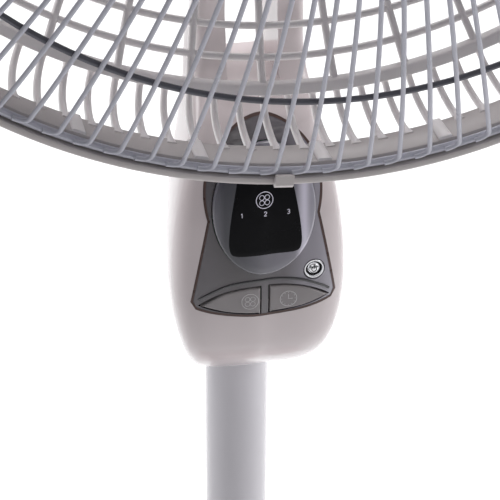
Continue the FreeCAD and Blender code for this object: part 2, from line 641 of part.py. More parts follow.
def motor():
    front = "0 - motor_front"
    at = ("0", "0", HUB)
    rim_in = "stator_radius + 0.05"
    front_bracket = turned("FrontBracket", [
        ("bush_radius + 0.02", "0 - motor_front - nose_length"),
        ("nose_radius", "0 - motor_front - nose_length"),
        ("nose_radius", front), ("bracket_radius", front), ("bracket_radius", "5 - stator_start"),
        (rim_in, "5 - stator_start"), (rim_in, "6 - motor_front"), ("bush_radius + 0.02", "6 - motor_front"),
    ], at, "Y")
    back = "stator_length - stator_start"
    rear_bracket = turned("RearBracket", [
        ("bush_radius + 0.02", back + " + 16"), (rim_in, back + " + 16"), (rim_in, back + " - 5"),
        ("bracket_radius", back + " - 5"), ("bracket_radius", back + " + 22"),
        ("bush_radius + 0.02", back + " + 22"),
    ], at, "Y")
    screws = []
    holes = []
    for index in range(4):
        across, up = polar("( bracket_radius - 4 )", 90 * index, 45)
        spot = (across, "0 - motor_front + 1", "hub_height + " + up)
        screws.append(rod("MotorScrew%d" % index, "1.8", "motor_front + stator_length - stator_start + 20",
                          spot, "Y"))
        holes.append(rod("MotorScrewHole%d" % index, "1.9", "90", (across, "0 - motor_front - 2",
                                                                 "hub_height + " + up), "Y"))
    keep("motor_screws", join("MotorScrews", screws))
    holes_front = join("BracketHoles", holes)
    keep("motor_front_bracket", cut("FrontBracketDrilled", front_bracket, holes_front))
    keep("motor_rear_bracket", cut("RearBracketDrilled", rear_bracket, holes_front))
    stator = rod("StatorBlank", "stator_radius", "stator_length", ("0", "0 - stator_start", HUB), "Y")
    bore = rod("StatorBore", "rotor_radius + air_gap", "80", ("0", "0 - stator_start - 20", HUB), "Y")
    keep("stator_core", cut("StatorCore", stator, bore))
    coils = []
    for index, start in enumerate(("0 - stator_start - 11", "stator_length - stator_start + 0.1")):
        ring = turned("Coil%d" % index, [
            ("rotor_radius + 4", "0"), ("stator_radius - 6", "0"), ("stator_radius - 4", "3"),
            ("stator_radius - 4", "10.9"), ("rotor_radius + 3", "10.9"), ("rotor_radius + 3", "3"),
        ], ("0", start, HUB), "Y")
        coils.append(ring)
    keep("stator_windings", join("StatorWindings", coils))
    rotor = turned("MotorRotor", [
        ("shaft_radius + 0.02", "0 - 5"), ("rotor_radius - 4", "0 - 5"), ("rotor_radius - 4", "0"),
        ("rotor_radius", "0"), ("rotor_radius", "stator_length"), ("rotor_radius - 4", "stator_length"),
        ("rotor_radius - 4", "stator_length + 5"), ("shaft_radius + 0.02", "stator_length + 5"),
    ], ("0", "0 - stator_start", HUB), "Y")
    keep("motor_rotor", rotor)
    bushes = []
    for index, start in enumerate(("0 - motor_front - nose_length + 2", back + " + 12.8")):
        bushes.append(turned("ShaftBush%d" % index, [
            ("shaft_radius + running_gap", "0"), ("bush_radius", "0"), ("bush_radius", "9"),
            ("shaft_radius + running_gap", "9"),
        ], ("0", start, HUB), "Y"))
    keep("shaft_bushes", join("ShaftBushes", bushes))


def motor_shaft():
    hub = "0 - guard_reach"
    stem = rod("ShaftStem", "shaft_radius", "guard_reach + 32 + 6", ("0", hub + " - 32", HUB), "Y")
    threads = []
    for index in range(6):
        threads.append(turned("WormThread%d" % index, [
            ("shaft_radius - 1", "0"), ("worm_radius", "0.6"), ("worm_radius", "1.4"), ("shaft_radius - 1", "2"),
        ], ("0", "gear_y - 7.5 + %.1f" % (2.5 * index), HUB), "Y"))
    tail = rod("ShaftTail", "shaft_radius - 0.5", "20", ("0", "6", HUB), "Y")
    keep("motor_shaft", join("MotorShaft", [stem, tail] + threads))


def gearbox():
    wall = "gearbox_wall"
    front = "stator_length - stator_start + 22"
    at_low = ("0 - 9", front, "hub_height - 14")
    hollow_depth = "gear_y + wheel_radius + 1 - ( %s )" % front
    depth = hollow_depth + " + gearbox_wall"
    outer = block("GearboxOuter", ("44", depth, "22"), at_low)
    inner = block("GearboxInner", ("44 - 2 * gearbox_wall", hollow_depth, "22"),
                  ("0 - 9 + gearbox_wall", front, "hub_height - 14 + gearbox_wall"))
    gear_x = "worm_radius + wheel_radius + 0.2"
    stem_hole = rod("GearStemHole", "3.06", "12", (gear_x, "gear_y", "hub_height - 20"))
    keep("gearbox_case", cut("GearboxCase", outer, join("GearboxHollow", [inner, stem_hole])))
    lid = block("GearboxLidBlank", ("44", depth, wall), ("0 - 9", front, "hub_height + 8"))
    lid_hole = rod("GearLidHole", "knob_stem + running_gap", "12", (gear_x, "gear_y", "hub_height + 2"))
    keep("gearbox_lid", cut("GearboxLid", lid, lid_hole))
    stem = rod("KnobStem", "knob_stem", "cover_radius + 8 - 5", (gear_x, "gear_y", "hub_height + 5"))
    cap = turned("KnobCap", [
        ("0", "0"), ("knob_radius - 2", "0"), ("knob_radius", "2"), ("knob_radius", "10"),
        ("knob_radius - 2", "13"), ("0", "14"),
    ], (gear_x, "gear_y", "hub_height + cover_radius + 4"))
    keep("oscillation_knob", join("OscillationKnob", [stem, cap]))


def swivel_block():
    low = "hub_height - pivot_drop + knuckle_top + swivel_gap"
    blank = block("SwivelBlank", ("26", "26", "pivot_drop - knuckle_top - swivel_gap - 46"),
                  ("0 - 13", "0 - pivot_reach - 13", low))
    saddle = rod("SwivelSaddle", "bracket_radius + 0.05", "80", ("0", "0 - 60", HUB), "Y")
    bore = rod("SwivelBore", "swivel_pin_radius + running_gap", "swivel_pin_length + 1",
               ("0", "0 - pivot_reach", "hub_height - pivot_drop + knuckle_top"))
    keep("swivel_block", cut("SwivelBlock", blank, join("SwivelCuts", [saddle, bore])))


def motor_cover():
    at = ("0", "0", HUB)
    shell = turned("MotorCoverShell", [
        ("bracket_radius + 0.3", "4 - motor_front"), ("cover_radius", "4 - motor_front"),
        ("cover_radius", "cover_back - 26"), ("cover_radius - 4", "cover_back - 14"),
        ("cover_radius - 14", "cover_back - 5"), ("cover_radius - 32", "cover_back"),
        ("0", "cover_back + 2"), ("0", "cover_back + 2 - cover_wall"),
        ("cover_radius - 32", "cover_back - cover_wall"),
        ("cover_radius - 14 - cover_wall * 0.6", "cover_back - 5 - cover_wall"),
        ("cover_radius - 4 - cover_wall", "cover_back - 14 - cover_wall * 0.5"),
        ("cover_radius - cover_wall", "cover_back - 26"),
        ("cover_radius - cover_wall", "7 - motor_front"), ("bracket_radius + 0.3", "7 - motor_front"),
    ], at, "Y")
    gear_x = "worm_radius + wheel_radius + 0.2"
    gap_low = block("CoverGap", ("29", "29", "30"), ("0 - 14.5", "0 - pivot_reach - 14.5",
                                                  "hub_height - cover_radius - 8"))
    crank_hole = rod("CoverCrankHole", "3.5", "30", (gear_x, "gear_y", "hub_height - cover_radius - 6"))
    knob_hole = rod("CoverKnobHole", "knob_stem + 0.5", "30", (gear_x, "gear_y", "hub_height + cover_radius - 20"))
    vents = []
    for index in range(-4, 5):
        reach = 26 - abs(index) * 3
        vents.append(block("Vent%d" % (index + 4), ("%d" % (2 * reach), "30", "3"),
                           ("0 - %d" % reach, "cover_back - 20", "hub_height - 1.5 + %d" % (index * 8))))
    holes = join("CoverHoles", [gap_low, crank_hole, knob_hole] + vents)
    keep("motor_cover", cut("MotorCover", shell, holes))
    keep("capacitor", block("Capacitor", ("38", "12", "18"), ("0 - 19", "cover_back - 26", "hub_height + 20")))


# --------------------------------------------------------------------------- guards and the blade

RIM_FRONT = -1.6
SEAT_FLOOR = 1.8
RING_Y = 0.3


def grille_depth_at(radius):
    """How far behind the wire ring the back guard's face lies at one radius."""
    drop = size("grille_depth") - size("shoulder_depth")
    return size("grille_depth") - drop * (radius / size("shoulder_radius")) ** size("grille_curve")


def spun(points, degrees):
    """A (radius, y) outline spun about the Y axis from the -Z side."""
    corners = [Vector(0, y, -radius) for radius, y in points]
    face = Part.Face(Part.makePolygon(corners + corners[:1]))
    return face.revolve(Vector(0, 0, 0), Vector(0, -1, 0), degrees)


def radial_bar(points, width):
    """A (radius, y) outline made a flat bar of the given width across the -Z direction."""
    corners = [Vector(-width / 2.0, y, -radius) for radius, y in points]
    face = Part.Face(Part.makePolygon(corners + corners[:1]))
    return face.extrude(Vector(width, 0, 0))


def repeat_sector(sector, count, pitch):
    """Sew copies of one sector round the Y axis, leaving out the faces where they meet."""
    faces = []
    sides = (Vector(-1, 0, 0), Vector(math.cos(math.radians(pitch)), 0, math.sin(math.radians(pitch))))
    for face in sector.Faces:
        middle = face.CenterOfMass
        on_side = any(abs(middle.dot(side)) < 1e-4 for side in sides)
        flat = isinstance(face.Surface, Part.Plane)
        if not (on_side and flat and abs(face.normalAt(0, 0).y) < 1e-6 and any(
                abs(abs(face.normalAt(0, 0).dot(side)) - 1) < 1e-6 for side in sides)):
            faces.append(face)
    copies = []
    for index in range(count):
        for face in faces:
            turned_face = face.copy()
            turned_face.rotate(Vector(0, 0, 0), Vector(0, 1, 0), -pitch * index)
            copies.append(turned_face)
    shell = Part.makeCompound(copies)
    shell.sewShape()
    solid = Part.makeSolid(shell.Shells[0] if shell.Shells else Part.makeShell(copies))
    if solid.Volume < 0:
        solid.reverse()
    return solid


def rear_guard():
    """The moulded back guard: a rim, slats to a heavy ring, then ribs and rings to the hub plate."""
    count = int(size("rib_count"))
    pitch = 360.0 / count
    width = size("rib_width")
    depth = size("rib_depth")
    rim = size("rim_radius")
    seat = size("wire_ring_radius") + size("ring_wire_radius") + 0.2
    deep = size("rim_depth")
    shoulder = size("shoulder_radius")
    band = rim - size("rim_wall") - 3.2
    rings = [spun([(seat, RIM_FRONT), (rim - 0.8, RIM_FRONT), (rim, 2.0), (rim - 0.8, deep - 3), (rim - 3.2, deep),
                   (band, deep), (band, SEAT_FLOOR), (seat, SEAT_FLOOR)], pitch)]
    y_shoulder = size("shoulder_depth")
    rings.append(spun([(shoulder - 2.6, y_shoulder - 1.4), (shoulder + 2.6, y_shoulder - 4.2),
                       (shoulder + 2.6, y_shoulder + 1.4), (shoulder - 2.6, y_shoulder + 4.2)], pitch))
    hub_plate = size("hub_plate_radius")
    ring_step = 10.0
    radius = shoulder - ring_step * 0.9
    while radius > hub_plate + ring_step * 0.7:
        y = grille_depth_at(radius)
        rings.append(spun([(radius - 1.3, y - 0.6), (radius + 1.3, y - 0.6), (radius + 1.3, y + 2.9),
                           (radius - 1.3, y + 2.9)], pitch))
        radius -= ring_step
    y_hub = grille_depth_at(hub_plate)
    rings.append(spun([(size("nose_radius") + 0.4, y_hub), (hub_plate + 2, y_hub - 0.3),
                       (hub_plate + 2, y_hub + 3), (size("nose_radius") + 0.4, y_hub + 3)], pitch))
    upper = []
    lower = []
    steps = 9
    for index in range(steps + 1):
        radius = hub_plate + (shoulder - hub_plate) * index / steps
        y = grille_depth_at(radius)
        upper.append((radius, y))
        lower.append((radius, y + depth * 0.7))
    rib = radial_bar(upper + lower[::-1], width)
    slat_line = [(band + 1.0, deep - 8), (band + 1.0, deep - 1), (shoulder + 8.4, y_shoulder - 9.0),
                 (shoulder, y_shoulder + 2.5), (shoulder - 1.2, y_shoulder - 1.0),
                 (shoulder + 4.6, y_shoulder - 11.5), (band - 2.6, deep - 0.8)]
    slat = radial_bar(slat_line, width)
    bars = [rib]
    bars[0].rotate(Vector(0, 0, 0), Vector(0, 1, 0), -pitch / 2.0)
    for index in range(3):
        bar = slat.copy()
        bar.rotate(Vector(0, 0, 0), Vector(0, 1, 0), -pitch * (0.5 + (index - 1) / 3.0))
        bars.append(bar)
    spun_rings = []
    for ring in rings:
        spun_rings.append(ring)
    sector = spun_rings[0].multiFuse(spun_rings[1:] + bars).removeSplitter()
    return sector, count, pitch


def guards():
    at = Vector(0, -size("guard_reach"), size("hub_height"))
    sector, count, pitch = rear_guard()
    solid = repeat_sector(sector, count, pitch)
    keep("rear_guard", made("RearGuard", solid, at))


def guard_clips():
    """Clips on the rim's front lip that hold the wire ring down, one of them at the foot."""
    seat = size("wire_ring_radius") + size("ring_wire_radius")
    rim = size("rim_radius")
    under = weld_y() - size("wire_radius") - 0.25
    front = under - 1.3
    rest = RIM_FRONT - 0.02
    inner = seat - 1.3
    profile = [(inner, front), (rim - 1.8, front), (rim - 0.5, front + 1.3), (rim - 0.9, rest),
               (seat + 0.3, rest), (seat + 0.3, under), (inner, under)]
    clip = radial_bar(profile, size("clip_width"))
    clips = []
    for index in range(int(size("clip_count"))):
        copy = clip.copy()
        copy.rotate(Vector(0, 0, 0), Vector(0, 1, 0), 360.0 * index / size("clip_count") + size("clip_turn"))
        clips.append(copy)
    at = Vector(0, -size("guard_reach"), size("hub_height"))
    keep("guard_clips", made("GuardClips", Part.makeCompound(clips), at))


def weld_y():
    """Where a spoke's centre lies over the outer ring that it is welded to."""
    return RING_Y - size("ring_wire_radius") - size("wire_radius") + 0.35


def dome_y(radius):
    """How far ahead of the wire ring's plane a spoke's centre runs, on a shallow sphere."""
    ring = size("wire_ring_radius")
    depth = size("front_depth")
    dome = (ring ** 2 + depth ** 2) / (2.0 * depth)
    return weld_y() - (math.sqrt(dome ** 2 - radius ** 2) - math.sqrt(dome ** 2 - ring ** 2))


def front_guard():
    """Straight spokes that lie just off the radial direction, on rings, with a centre disc."""
    swirl = size("wire_swirl")
    wire = size("wire_radius")
    outer = math.sqrt(size("wire_ring_radius") ** 2 - swirl ** 2)
    inner = math.sqrt((size("badge_radius") - 2.0) ** 2 - swirl ** 2)

    def on_line(along):
        radius = math.hypot(along, swirl)
        return Vector(-swirl, dome_y(radius), -along)

    bend = size("wire_bend")
    start = on_line(inner)
    end = on_line(outer - bend)
    spoke_arc = Part.Arc(start, on_line((inner + outer - bend) / 2.0), end).toShape()
    onward = spoke_arc.tangentAt(spoke_arc.LastParameter)
    aside = Vector(-1, 0, 0)
    aside = (aside - onward * aside.dot(onward)).normalize()
    centre = end + aside * bend
    corner = centre + (onward - aside) * (bend * math.sqrt(0.5))
    stop = centre + onward * bend
    hook = Part.Arc(end, corner, stop).toShape()
    tail = Part.makeLine(stop, stop + aside * (bend * 0.8))
    profile = Part.Wire([Part.makeCircle(wire, start, spoke_arc.tangentAt(spoke_arc.FirstParameter))])
    spoke = Part.Wire([spoke_arc, hook, tail]).makePipeShell([profile], True, True, 0)
    rings = []
    outer_ring = Part.makeTorus(size("wire_ring_radius"), size("ring_wire_radius"),
                                Vector(0, RING_Y, 0), Vector(0, 1, 0))
    rings.append(outer_ring)
    inner_radius = size("inner_ring_radius")
    rings.append(Part.makeTorus(inner_radius, 1.1, Vector(0, dome_y(inner_radius) + wire + 0.75, 0),
                                Vector(0, 1, 0)))
    middle = 112.0
    rings.append(Part.makeTorus(middle, 1.1, Vector(0, dome_y(middle) + wire + 0.75, 0), Vector(0, 1, 0)))
    disc_y = dome_y(size("badge_radius"))
    rings.append(Part.makeTorus(size("badge_radius") - 1.5, 1.3, Vector(0, disc_y + wire + 0.9, 0),
                                Vector(0, 1, 0)))
    count = int(size("wire_count"))
    at = Vector(0, -size("guard_reach"), size("hub_height"))
    spokes = []
    for index in range(count):
        copy = spoke.copy()
        copy.rotate(Vector(0, 0, 0), Vector(0, 1, 0), 360.0 * index / count)
        spokes.append(copy)
    keep("front_guard_wires", made("FrontWires", Part.makeCompound(spokes), at))
    keep("front_guard_rings", made("FrontRings", Part.makeCompound(rings), at))
    badge = Part.makeCylinder(size("badge_radius") - 3.2, 2.0, Vector(0, disc_y - wire - 0.1, 0), Vector(0, -1, 0))
    badge = badge.makeFillet(1.2, [edge for edge in badge.Edges if edge.CenterOfMass.y < disc_y - wire - 2])
    keep("guard_badge", made("GuardBadge", badge, at))
    return at


def blade():
    """Three wide swept blades on a cup-shaped hub."""
    hub_radius = size("blade_hub_radius")
    tip = size("blade_radius")
    thick = size("blade_thickness")
    # distance out, half width, half reach along the shaft, middle's place along the shaft
    stations = [(hub_radius - 6, 17.0, 13.0, 0.0), (80.0, 50.0, 20.0, 6.0), (130.0, 82.0, 20.0, 12.0),
                (tip + 6, 116.0, 17.0, 15.0)]
    wires = []
    for distance, half, reach, middle in stations:
        camber = half * 0.1
        front = []
        back = []
        for share in (-1.0, -0.5, 0.0, 0.5, 1.0):
            across = share * half
            along = middle - share * reach
            rise = camber * (1 - share * share)
            front.append(Vector(across, along + rise - thick / 2.0, distance))
            back.append(Vector(across, along + rise + thick / 2.0, distance))
        front_curve = Part.BSplineCurve()
        front_curve.interpolate(Points=front)
        back_curve = Part.BSplineCurve()
        back_curve.interpolate(Points=back[::-1])
        edges = [front_curve.toShape(), Part.makeLine(front[-1], back[-1]), back_curve.toShape(),
                 Part.makeLine(back[0], front[0])]
        wires.append(Part.Wire(edges))
    sheet_solid = Part.makeLoft(wires, True, False)
    edge_lead = [Vector(8, -60, 20), Vector(50, -60, 60), Vector(88, -60, 112), Vector(96, -60, 158)]
    edge_trail = [Vector(-104, -60, 138), Vector(-88, -60, 96), Vector(-50, -60, 55), Vector(-14, -60, 20)]
    lead = Part.BSplineCurve()
    lead.interpolate(Points=edge_lead)
    trail = Part.BSplineCurve()
    trail.interpolate(Points=edge_trail)
    tip_points = [edge_lead[-1]]
    for across, short in ((84, 1), (50, 0), (4, 0), (-55, 0), (-94, 4)):
        tip_points.append(Vector(across, -60, math.sqrt((tip - short) ** 2 - across ** 2)))
    tip_curve = Part.BSplineCurve()
    tip_curve.interpolate(Points=tip_points + [edge_trail[0]])
    face = Part.Face(Part.Wire([lead.toShape(), tip_curve.toShape(), trail.toShape(),
                                Part.makeLine(edge_trail[-1], edge_lead[0])]))
    one = sheet_solid.common(face.extrude(Vector(0, 120, 0)))
    one = max(one.Solids, key=lambda item: item.Volume)
    cup = spun([(size("shaft_radius") + 0.05, -24), (hub_radius - 4, -24), (hub_radius, -20), (hub_radius, 22),
                (hub_radius - 2.5, 22), (hub_radius - 2.5, -20), (11, -20), (11, 18),
                (size("shaft_radius") + 0.05, 18)], 360)
    blades = []
    for index in range(3):
        copy = one.copy()
        copy.rotate(Vector(0, 0, 0), Vector(0, 1, 0), 120 * index + size("blade_turn"))
        blades.append(copy)
    inside = Part.makeCylinder(hub_radius - 1.0, 200, Vector(0, -100, 0), Vector(0, 1, 0))
    solid = cup.multiFuse([item.cut(inside) for item in blades])
    at = Vector(0, -size("guard_reach"), size("hub_height"))
    keep("fan_blade", made("FanBlade", solid, at))
    nut = spun([(size("shaft_radius") + 0.02, -31), (13, -31), (14, -28), (14, -24.2),
                (size("shaft_radius") + 0.02, -24.2)], 360)
    cap = Part.makeCylinder(13, 2, Vector(0, -34.4, 0), Vector(0, 1, 0))
    keep("blade_nut", made("BladeNut", nut.fuse(cap).fuse(spun([(6, -32.5), (13, -32.5), (13, -31), (6, -31)], 360)), at))
    guard_nut = spun([(size("nose_radius") + 0.05, 65.4), (34, 68), (34, 76.4), (size("nose_radius") + 0.05, 76.4)],
                     360)
    keep("guard_nut", made("GuardNut", guard_nut, at))


base_cover()
base_bottom()
pole_socket()
outer_tube()
height_collar()
column_shells()
controls()
inner_tube()
knuckle()
tilt_hardware()
swing_drive()
motor()
motor_shaft()
gearbox()
swivel_block()
motor_cover()
guards()
guard_clips()
front_guard()
blade()

doc.recompute()
problems = []
for obj in doc.Objects:
    if "Invalid" in obj.State or "Error" in obj.State:
        problems.append("%s is %s" % (obj.Name, obj.State))
for label, obj in nodes.items():
    if obj.Shape.isNull() or not obj.Shape.isValid() or not obj.Shape.Solids:
        problems.append("%s has no valid solid" % label)
if problems:
    raise RuntimeError("; ".join(problems))
os.makedirs("parts", exist_ok=True)
for label, obj in nodes.items():
    obj.Shape.exportStep("parts/%s.step" % label)
print("%d sub-parts written" % len(nodes))
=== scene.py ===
"""Looks for the pedestal fan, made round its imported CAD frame. Lengths are in metres."""

import math

import bmesh
import bpy
from bpy.props import FloatProperty, FloatVectorProperty, IntProperty, PointerProperty
from mathutils import Matrix, Vector
from mathutils.bvhtree import BVHTree


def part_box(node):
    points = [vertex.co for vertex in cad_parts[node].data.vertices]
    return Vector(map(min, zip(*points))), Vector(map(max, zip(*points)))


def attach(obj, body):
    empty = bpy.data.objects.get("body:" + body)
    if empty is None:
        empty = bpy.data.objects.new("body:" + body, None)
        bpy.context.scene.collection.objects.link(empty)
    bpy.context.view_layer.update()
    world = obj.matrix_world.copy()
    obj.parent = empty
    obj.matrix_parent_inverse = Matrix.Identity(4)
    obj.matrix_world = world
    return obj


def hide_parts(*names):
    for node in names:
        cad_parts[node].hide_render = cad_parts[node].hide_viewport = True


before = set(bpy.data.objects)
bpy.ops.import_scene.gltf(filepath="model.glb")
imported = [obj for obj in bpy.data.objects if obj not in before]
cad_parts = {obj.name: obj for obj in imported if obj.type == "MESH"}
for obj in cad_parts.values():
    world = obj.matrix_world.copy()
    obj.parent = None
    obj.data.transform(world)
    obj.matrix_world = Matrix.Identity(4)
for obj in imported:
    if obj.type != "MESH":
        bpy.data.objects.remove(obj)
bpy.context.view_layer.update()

bl_info = {
    "name": "Pedestal fan looks",
    "version": (1, 0, 0),
    "blender": (4, 5, 0),
    "location": "3D View > Sidebar > Fan",
    "description": "Builds the visible pieces and finishes of a pedestal fan round its CAD frame",
    "category": "Object",
}

# ------------------------------------------------------------------ places taken from the frame

BADGE_LOW, BADGE_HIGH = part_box("guard_badge")
RIM_LOW, RIM_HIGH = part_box("rear_guard")
RING_LOW, RING_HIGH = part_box("front_guard_rings")
HUB_X = (BADGE_LOW.x + BADGE_HIGH.x) / 2
HUB_Z = (BADGE_LOW.z + BADGE_HIGH.z) / 2
RIM_RADIUS = (RIM_HIGH.x - RIM_LOW.x) / 2
# the outer ring's wire and depth, and the rim's width up to its inner band
OUTER_RING_WIRE = 0.0014
OUTER_RING_DEPTH = 0.0003
RIM_WALL = 0.0076
RING_RADIUS = (RING_HIGH.x - RING_LOW.x) / 2 - OUTER_RING_WIRE
# the head's drawing plane lies 1.7 mm ahead of the outer ring's rearmost point
GUARD_Y = RING_HIGH.y - 0.0017
# the camera: its lens, its place from the guard's centre, and its right and forward directions
CAMERA_LENS = 129.6
CAMERA_PLACE = (-0.14421, -0.55027, 0.06005)
CAMERA_ACROSS = (0.9787, -0.2052, 0.0054)
CAMERA_AHEAD = (0.1832, 0.8612, -0.4742)


def guard_point(x, y, z):
    """A point given from the guard's centre, in the plane of its outer ring."""
    return Vector((HUB_X + x, GUARD_Y + y, HUB_Z + z))


# ------------------------------------------------------------------------------------- settings


def length(name, default, description):
    return FloatProperty(name=name, description=description, default=default, min=0.0,
                         subtype="DISTANCE", unit="LENGTH", precision=5)


def colour(name, default, description):
    return FloatVectorProperty(name=name, description=description, default=default, size=3,
                               min=0.0, max=1.0, subtype="COLOR")


class FanGuardSizes(bpy.types.PropertyGroup):
    """Sizes of the wire guard in front and the moulded guard behind."""

    wire_radius: length("Spoke radius", 0.0009, "Radius of one front spoke")
    wire_count: IntProperty(name="Spokes", description="How many front spokes", default=120, min=3)
    swirl: length("Swirl", 0.0076, "How far each spoke's line passes from the centre")
    dome_depth: length("Dome depth", 0.058, "How far the front guard stands out at its middle")
    bend: length("Hook radius", 0.003, "Bend at a spoke's outer end")
    inner_ring: length("Inner ring", 0.1798, "Radius of the inner guard ring")
    middle_ring: length("Middle ring", 0.112, "Radius of the middle guard ring")
    badge_ring: length("Badge ring", 0.0445, "Radius of the ring round the badge")
    rib_count: IntProperty(name="Ribs", description="How many ribs the back guard has", default=46,
                           min=3)
    rib_width: length("Rib width", 0.0025, "Width of a rib")
    rib_height: length("Rib height", 0.0032, "Depth of a rib along the shaft")
    slats_per_rib: IntProperty(name="Slats per rib", description="Rim slats to each rib", default=3,
                               min=1)
    shoulder: length("Shoulder radius", 0.2, "Radius of the heavy ring at the shoulder")
    shoulder_depth: length("Shoulder depth", 0.042, "How far back the heavy ring lies")
    grille_depth: length("Grille depth", 0.077, "How far back the grille's middle lies")
    grille_curve: FloatProperty(name="Grille curve", description="Power of the grille's profile",
                                default=4.5)
    ring_step: length("Ring step", 0.01, "Distance between the grille's rings")
    hub_plate: length("Hub plate", 0.06, "Radius of the plate at the grille's middle")
    rim_depth: length("Rim depth", 0.017, "How deep the rim is")


class FanControlSizes(bpy.types.PropertyGroup):
    """Sizes of what shows on the face of the control column."""

    lens_half: length("Lens half width", 0.0219, "Half the width of the display lens")
    lens_rise: length("Lens half height", 0.0289, "Half the height of the display lens")
    lens_drop: length("Lens drop", 0.279, "How far the lens's middle lies under the hub")
    lens_roll: length("Lens edge", 0.0012, "Rounding of the lens's edge")
    button_roll: length("Button edge", 0.0005, "Rounding of a button's edge")
    button_inset: length("Button inset", 0.00025, "How much a button's outline is drawn in")
    power_x: length("Power button place", 0.0215, "How far the power button lies right of the middle")
    power_drop: length("Power button drop", 0.3088, "How far the power button lies under the hub")
    mark_line: length("Mark line", 0.0003, "Line width of the marks on the display")
    icon_line: length("Icon line", 0.00022, "Line width of the icons on the buttons")
    icon_size: length("Icon radius", 0.0036, "Radius of an icon's circle")


class FanColours(bpy.types.PropertyGroup):
    """Colours of the finishes that show."""

    housing: colour("Housing", (0.62, 0.552, 0.56), "Warm white gloss plastic")
    guard: colour("Back guard", (0.56, 0.52, 0.515), "Moulded back guard and rim")
    wire: colour("Wires", (0.53, 0.53, 0.60), "Coated front spokes")
    # Painted shade: the inner rings are the same coated wire as the spokes and the outer ring, painted
    # much darker as if in shade.
    ring: colour("Rings", (0.10, 0.10, 0.12), "Inner rings of the front guard")
    tube: colour("Pole", (0.60, 0.58, 0.62), "Enamelled pole")
    panel: colour("Panel", (0.10, 0.09, 0.097), "Grey gloss control panel")
    button: colour("Buttons", (0.27, 0.25, 0.255), "Satin grey buttons")
    trim: colour("Trim", (0.075, 0.04, 0.035), "Dark edge round the panel")
    # Painted light: a much lighter copy of the back guard's own plastic, making up for the shade the
    # blade casts on the ribs, slats, rings, pads and heavy ring.
    grille: colour("Grille", (0.90, 0.86, 0.86), "Ribs and slats of the back guard")
    # Lens colours: its dark smoked tint, and a painted highlight that the lens and the panel blend
    # towards on their right side.
    lens_dark: colour("Lens left", (0.05, 0.05, 0.062), "Smoked lens away from the light")
    lens_painted_highlight: colour("Lens right", (0.66, 0.63, 0.74), "Smoked lens where light shows through")
    blade: colour("Blade", (0.14, 0.14, 0.17), "Smoky blade")


class FanLights(bpy.types.PropertyGroup):
    """Strengths of the studio lights, in watts."""

    behind: FloatProperty(name="Behind", description="Large light over the floor behind", default=150)
    right: FloatProperty(name="Right", description="Tall light at the right", default=9)
    floor_right: FloatProperty(name="Floor at the right", description="Lights the floor at the right",
                               default=13)
    left: FloatProperty(name="Left", description="Light behind at the left", default=10)
    front: FloatProperty(name="Front", description="Weak fill in front", default=5)
    world: FloatProperty(name="Surroundings", description="Strength of the even light all round",
                         default=0.16)


# -------------------------------------------------------------------------------------- materials


def node(tree, kind, **values):
    made = tree.nodes.new(kind)
    for name, value in values.items():
        setattr(made, name, value)
    return made


def finish_of(name, base, vary=0.05, scale=60.0, rough=(0.25, 0.35), bump=0.02, grain=900.0,
              metal=0.0, coat=0.0, stretch=(1.0, 1.0, 1.0)):
    """A moulded or coated finish: mottled colour, uneven gloss and a fine surface texture."""
    material = bpy.data.materials.new(name)
    material.use_nodes = True
    tree = material.node_tree
    shader = tree.nodes["Principled BSDF"]
    shader.inputs["Metallic"].default_value = metal
    shader.inputs["Coat Weight"].default_value = coat
    shader.inputs["Coat Roughness"].default_value = 0.05
    places = node(tree, "ShaderNodeTexCoord")
    mapping = node(tree, "ShaderNodeMapping")
    mapping.inputs["Scale"].default_value = stretch
    tree.links.new(places.outputs["Object"], mapping.inputs["Vector"])
    clouds = node(tree, "ShaderNodeTexNoise")
    clouds.inputs["Scale"].default_value = scale
    clouds.inputs["Detail"].default_value = 3.0
    tree.links.new(mapping.outputs["Vector"], clouds.inputs["Vector"])
    ramp = node(tree, "ShaderNodeValToRGB")
    ramp.color_ramp.elements[0].position = 0.3
    ramp.color_ramp.elements[1].position = 0.7
    ramp.color_ramp.elements[0].color = tuple(part * (1 - vary) for part in base) + (1.0,)
    ramp.color_ramp.elements[1].color = tuple(min(part * (1 + vary), 1.0) for part in base) + (1.0,)
    tree.links.new(clouds.outputs["Fac"], ramp.inputs["Fac"])
    tree.links.new(ramp.outputs["Color"], shader.inputs["Base Color"])
    gloss = node(tree, "ShaderNodeMapRange")
    gloss.inputs["From Min"].default_value = 0.3
    gloss.inputs["From Max"].default_value = 0.7
    gloss.inputs["To Min"].default_value = rough[0]
    gloss.inputs["To Max"].default_value = rough[1]
    tree.links.new(clouds.outputs["Fac"], gloss.inputs["Value"])
    tree.links.new(gloss.outputs["Result"], shader.inputs["Roughness"])
    fine = node(tree, "ShaderNodeTexNoise")
    fine.inputs["Scale"].default_value = grain
    fine.inputs["Detail"].default_value = 2.0
    tree.links.new(mapping.outputs["Vector"], fine.inputs["Vector"])
    relief = node(tree, "ShaderNodeBump")
    relief.inputs["Strength"].default_value = bump
    relief.inputs["Distance"].default_value = 0.0002
    tree.links.new(fine.outputs["Fac"], relief.inputs["Height"])
    tree.links.new(relief.outputs["Normal"], shader.inputs["Normal"])
    return material


def banded(name, light, dark, direction, scale, rough, metal):
    """Stacked sheets or wound wire: fine bands along one direction."""
    material = finish_of(name, light, rough=rough, metal=metal)
    tree = material.node_tree
    shader = tree.nodes["Principled BSDF"]
    places = next(item for item in tree.nodes if item.type == "TEX_COORD")
    bands = node(tree, "ShaderNodeTexWave", wave_type="BANDS", bands_direction=direction)
    bands.inputs["Scale"].default_value = scale
    bands.inputs["Distortion"].default_value = 0.6
    tree.links.new(places.outputs["Object"], bands.inputs["Vector"])
    ramp = node(tree, "ShaderNodeValToRGB")
    ramp.color_ramp.elements[0].color = dark + (1.0,)
    ramp.color_ramp.elements[1].color = light + (1.0,)
    tree.links.new(bands.outputs["Fac"], ramp.inputs["Fac"])
    tree.links.new(ramp.outputs["Color"], shader.inputs["Base Color"])
    return material
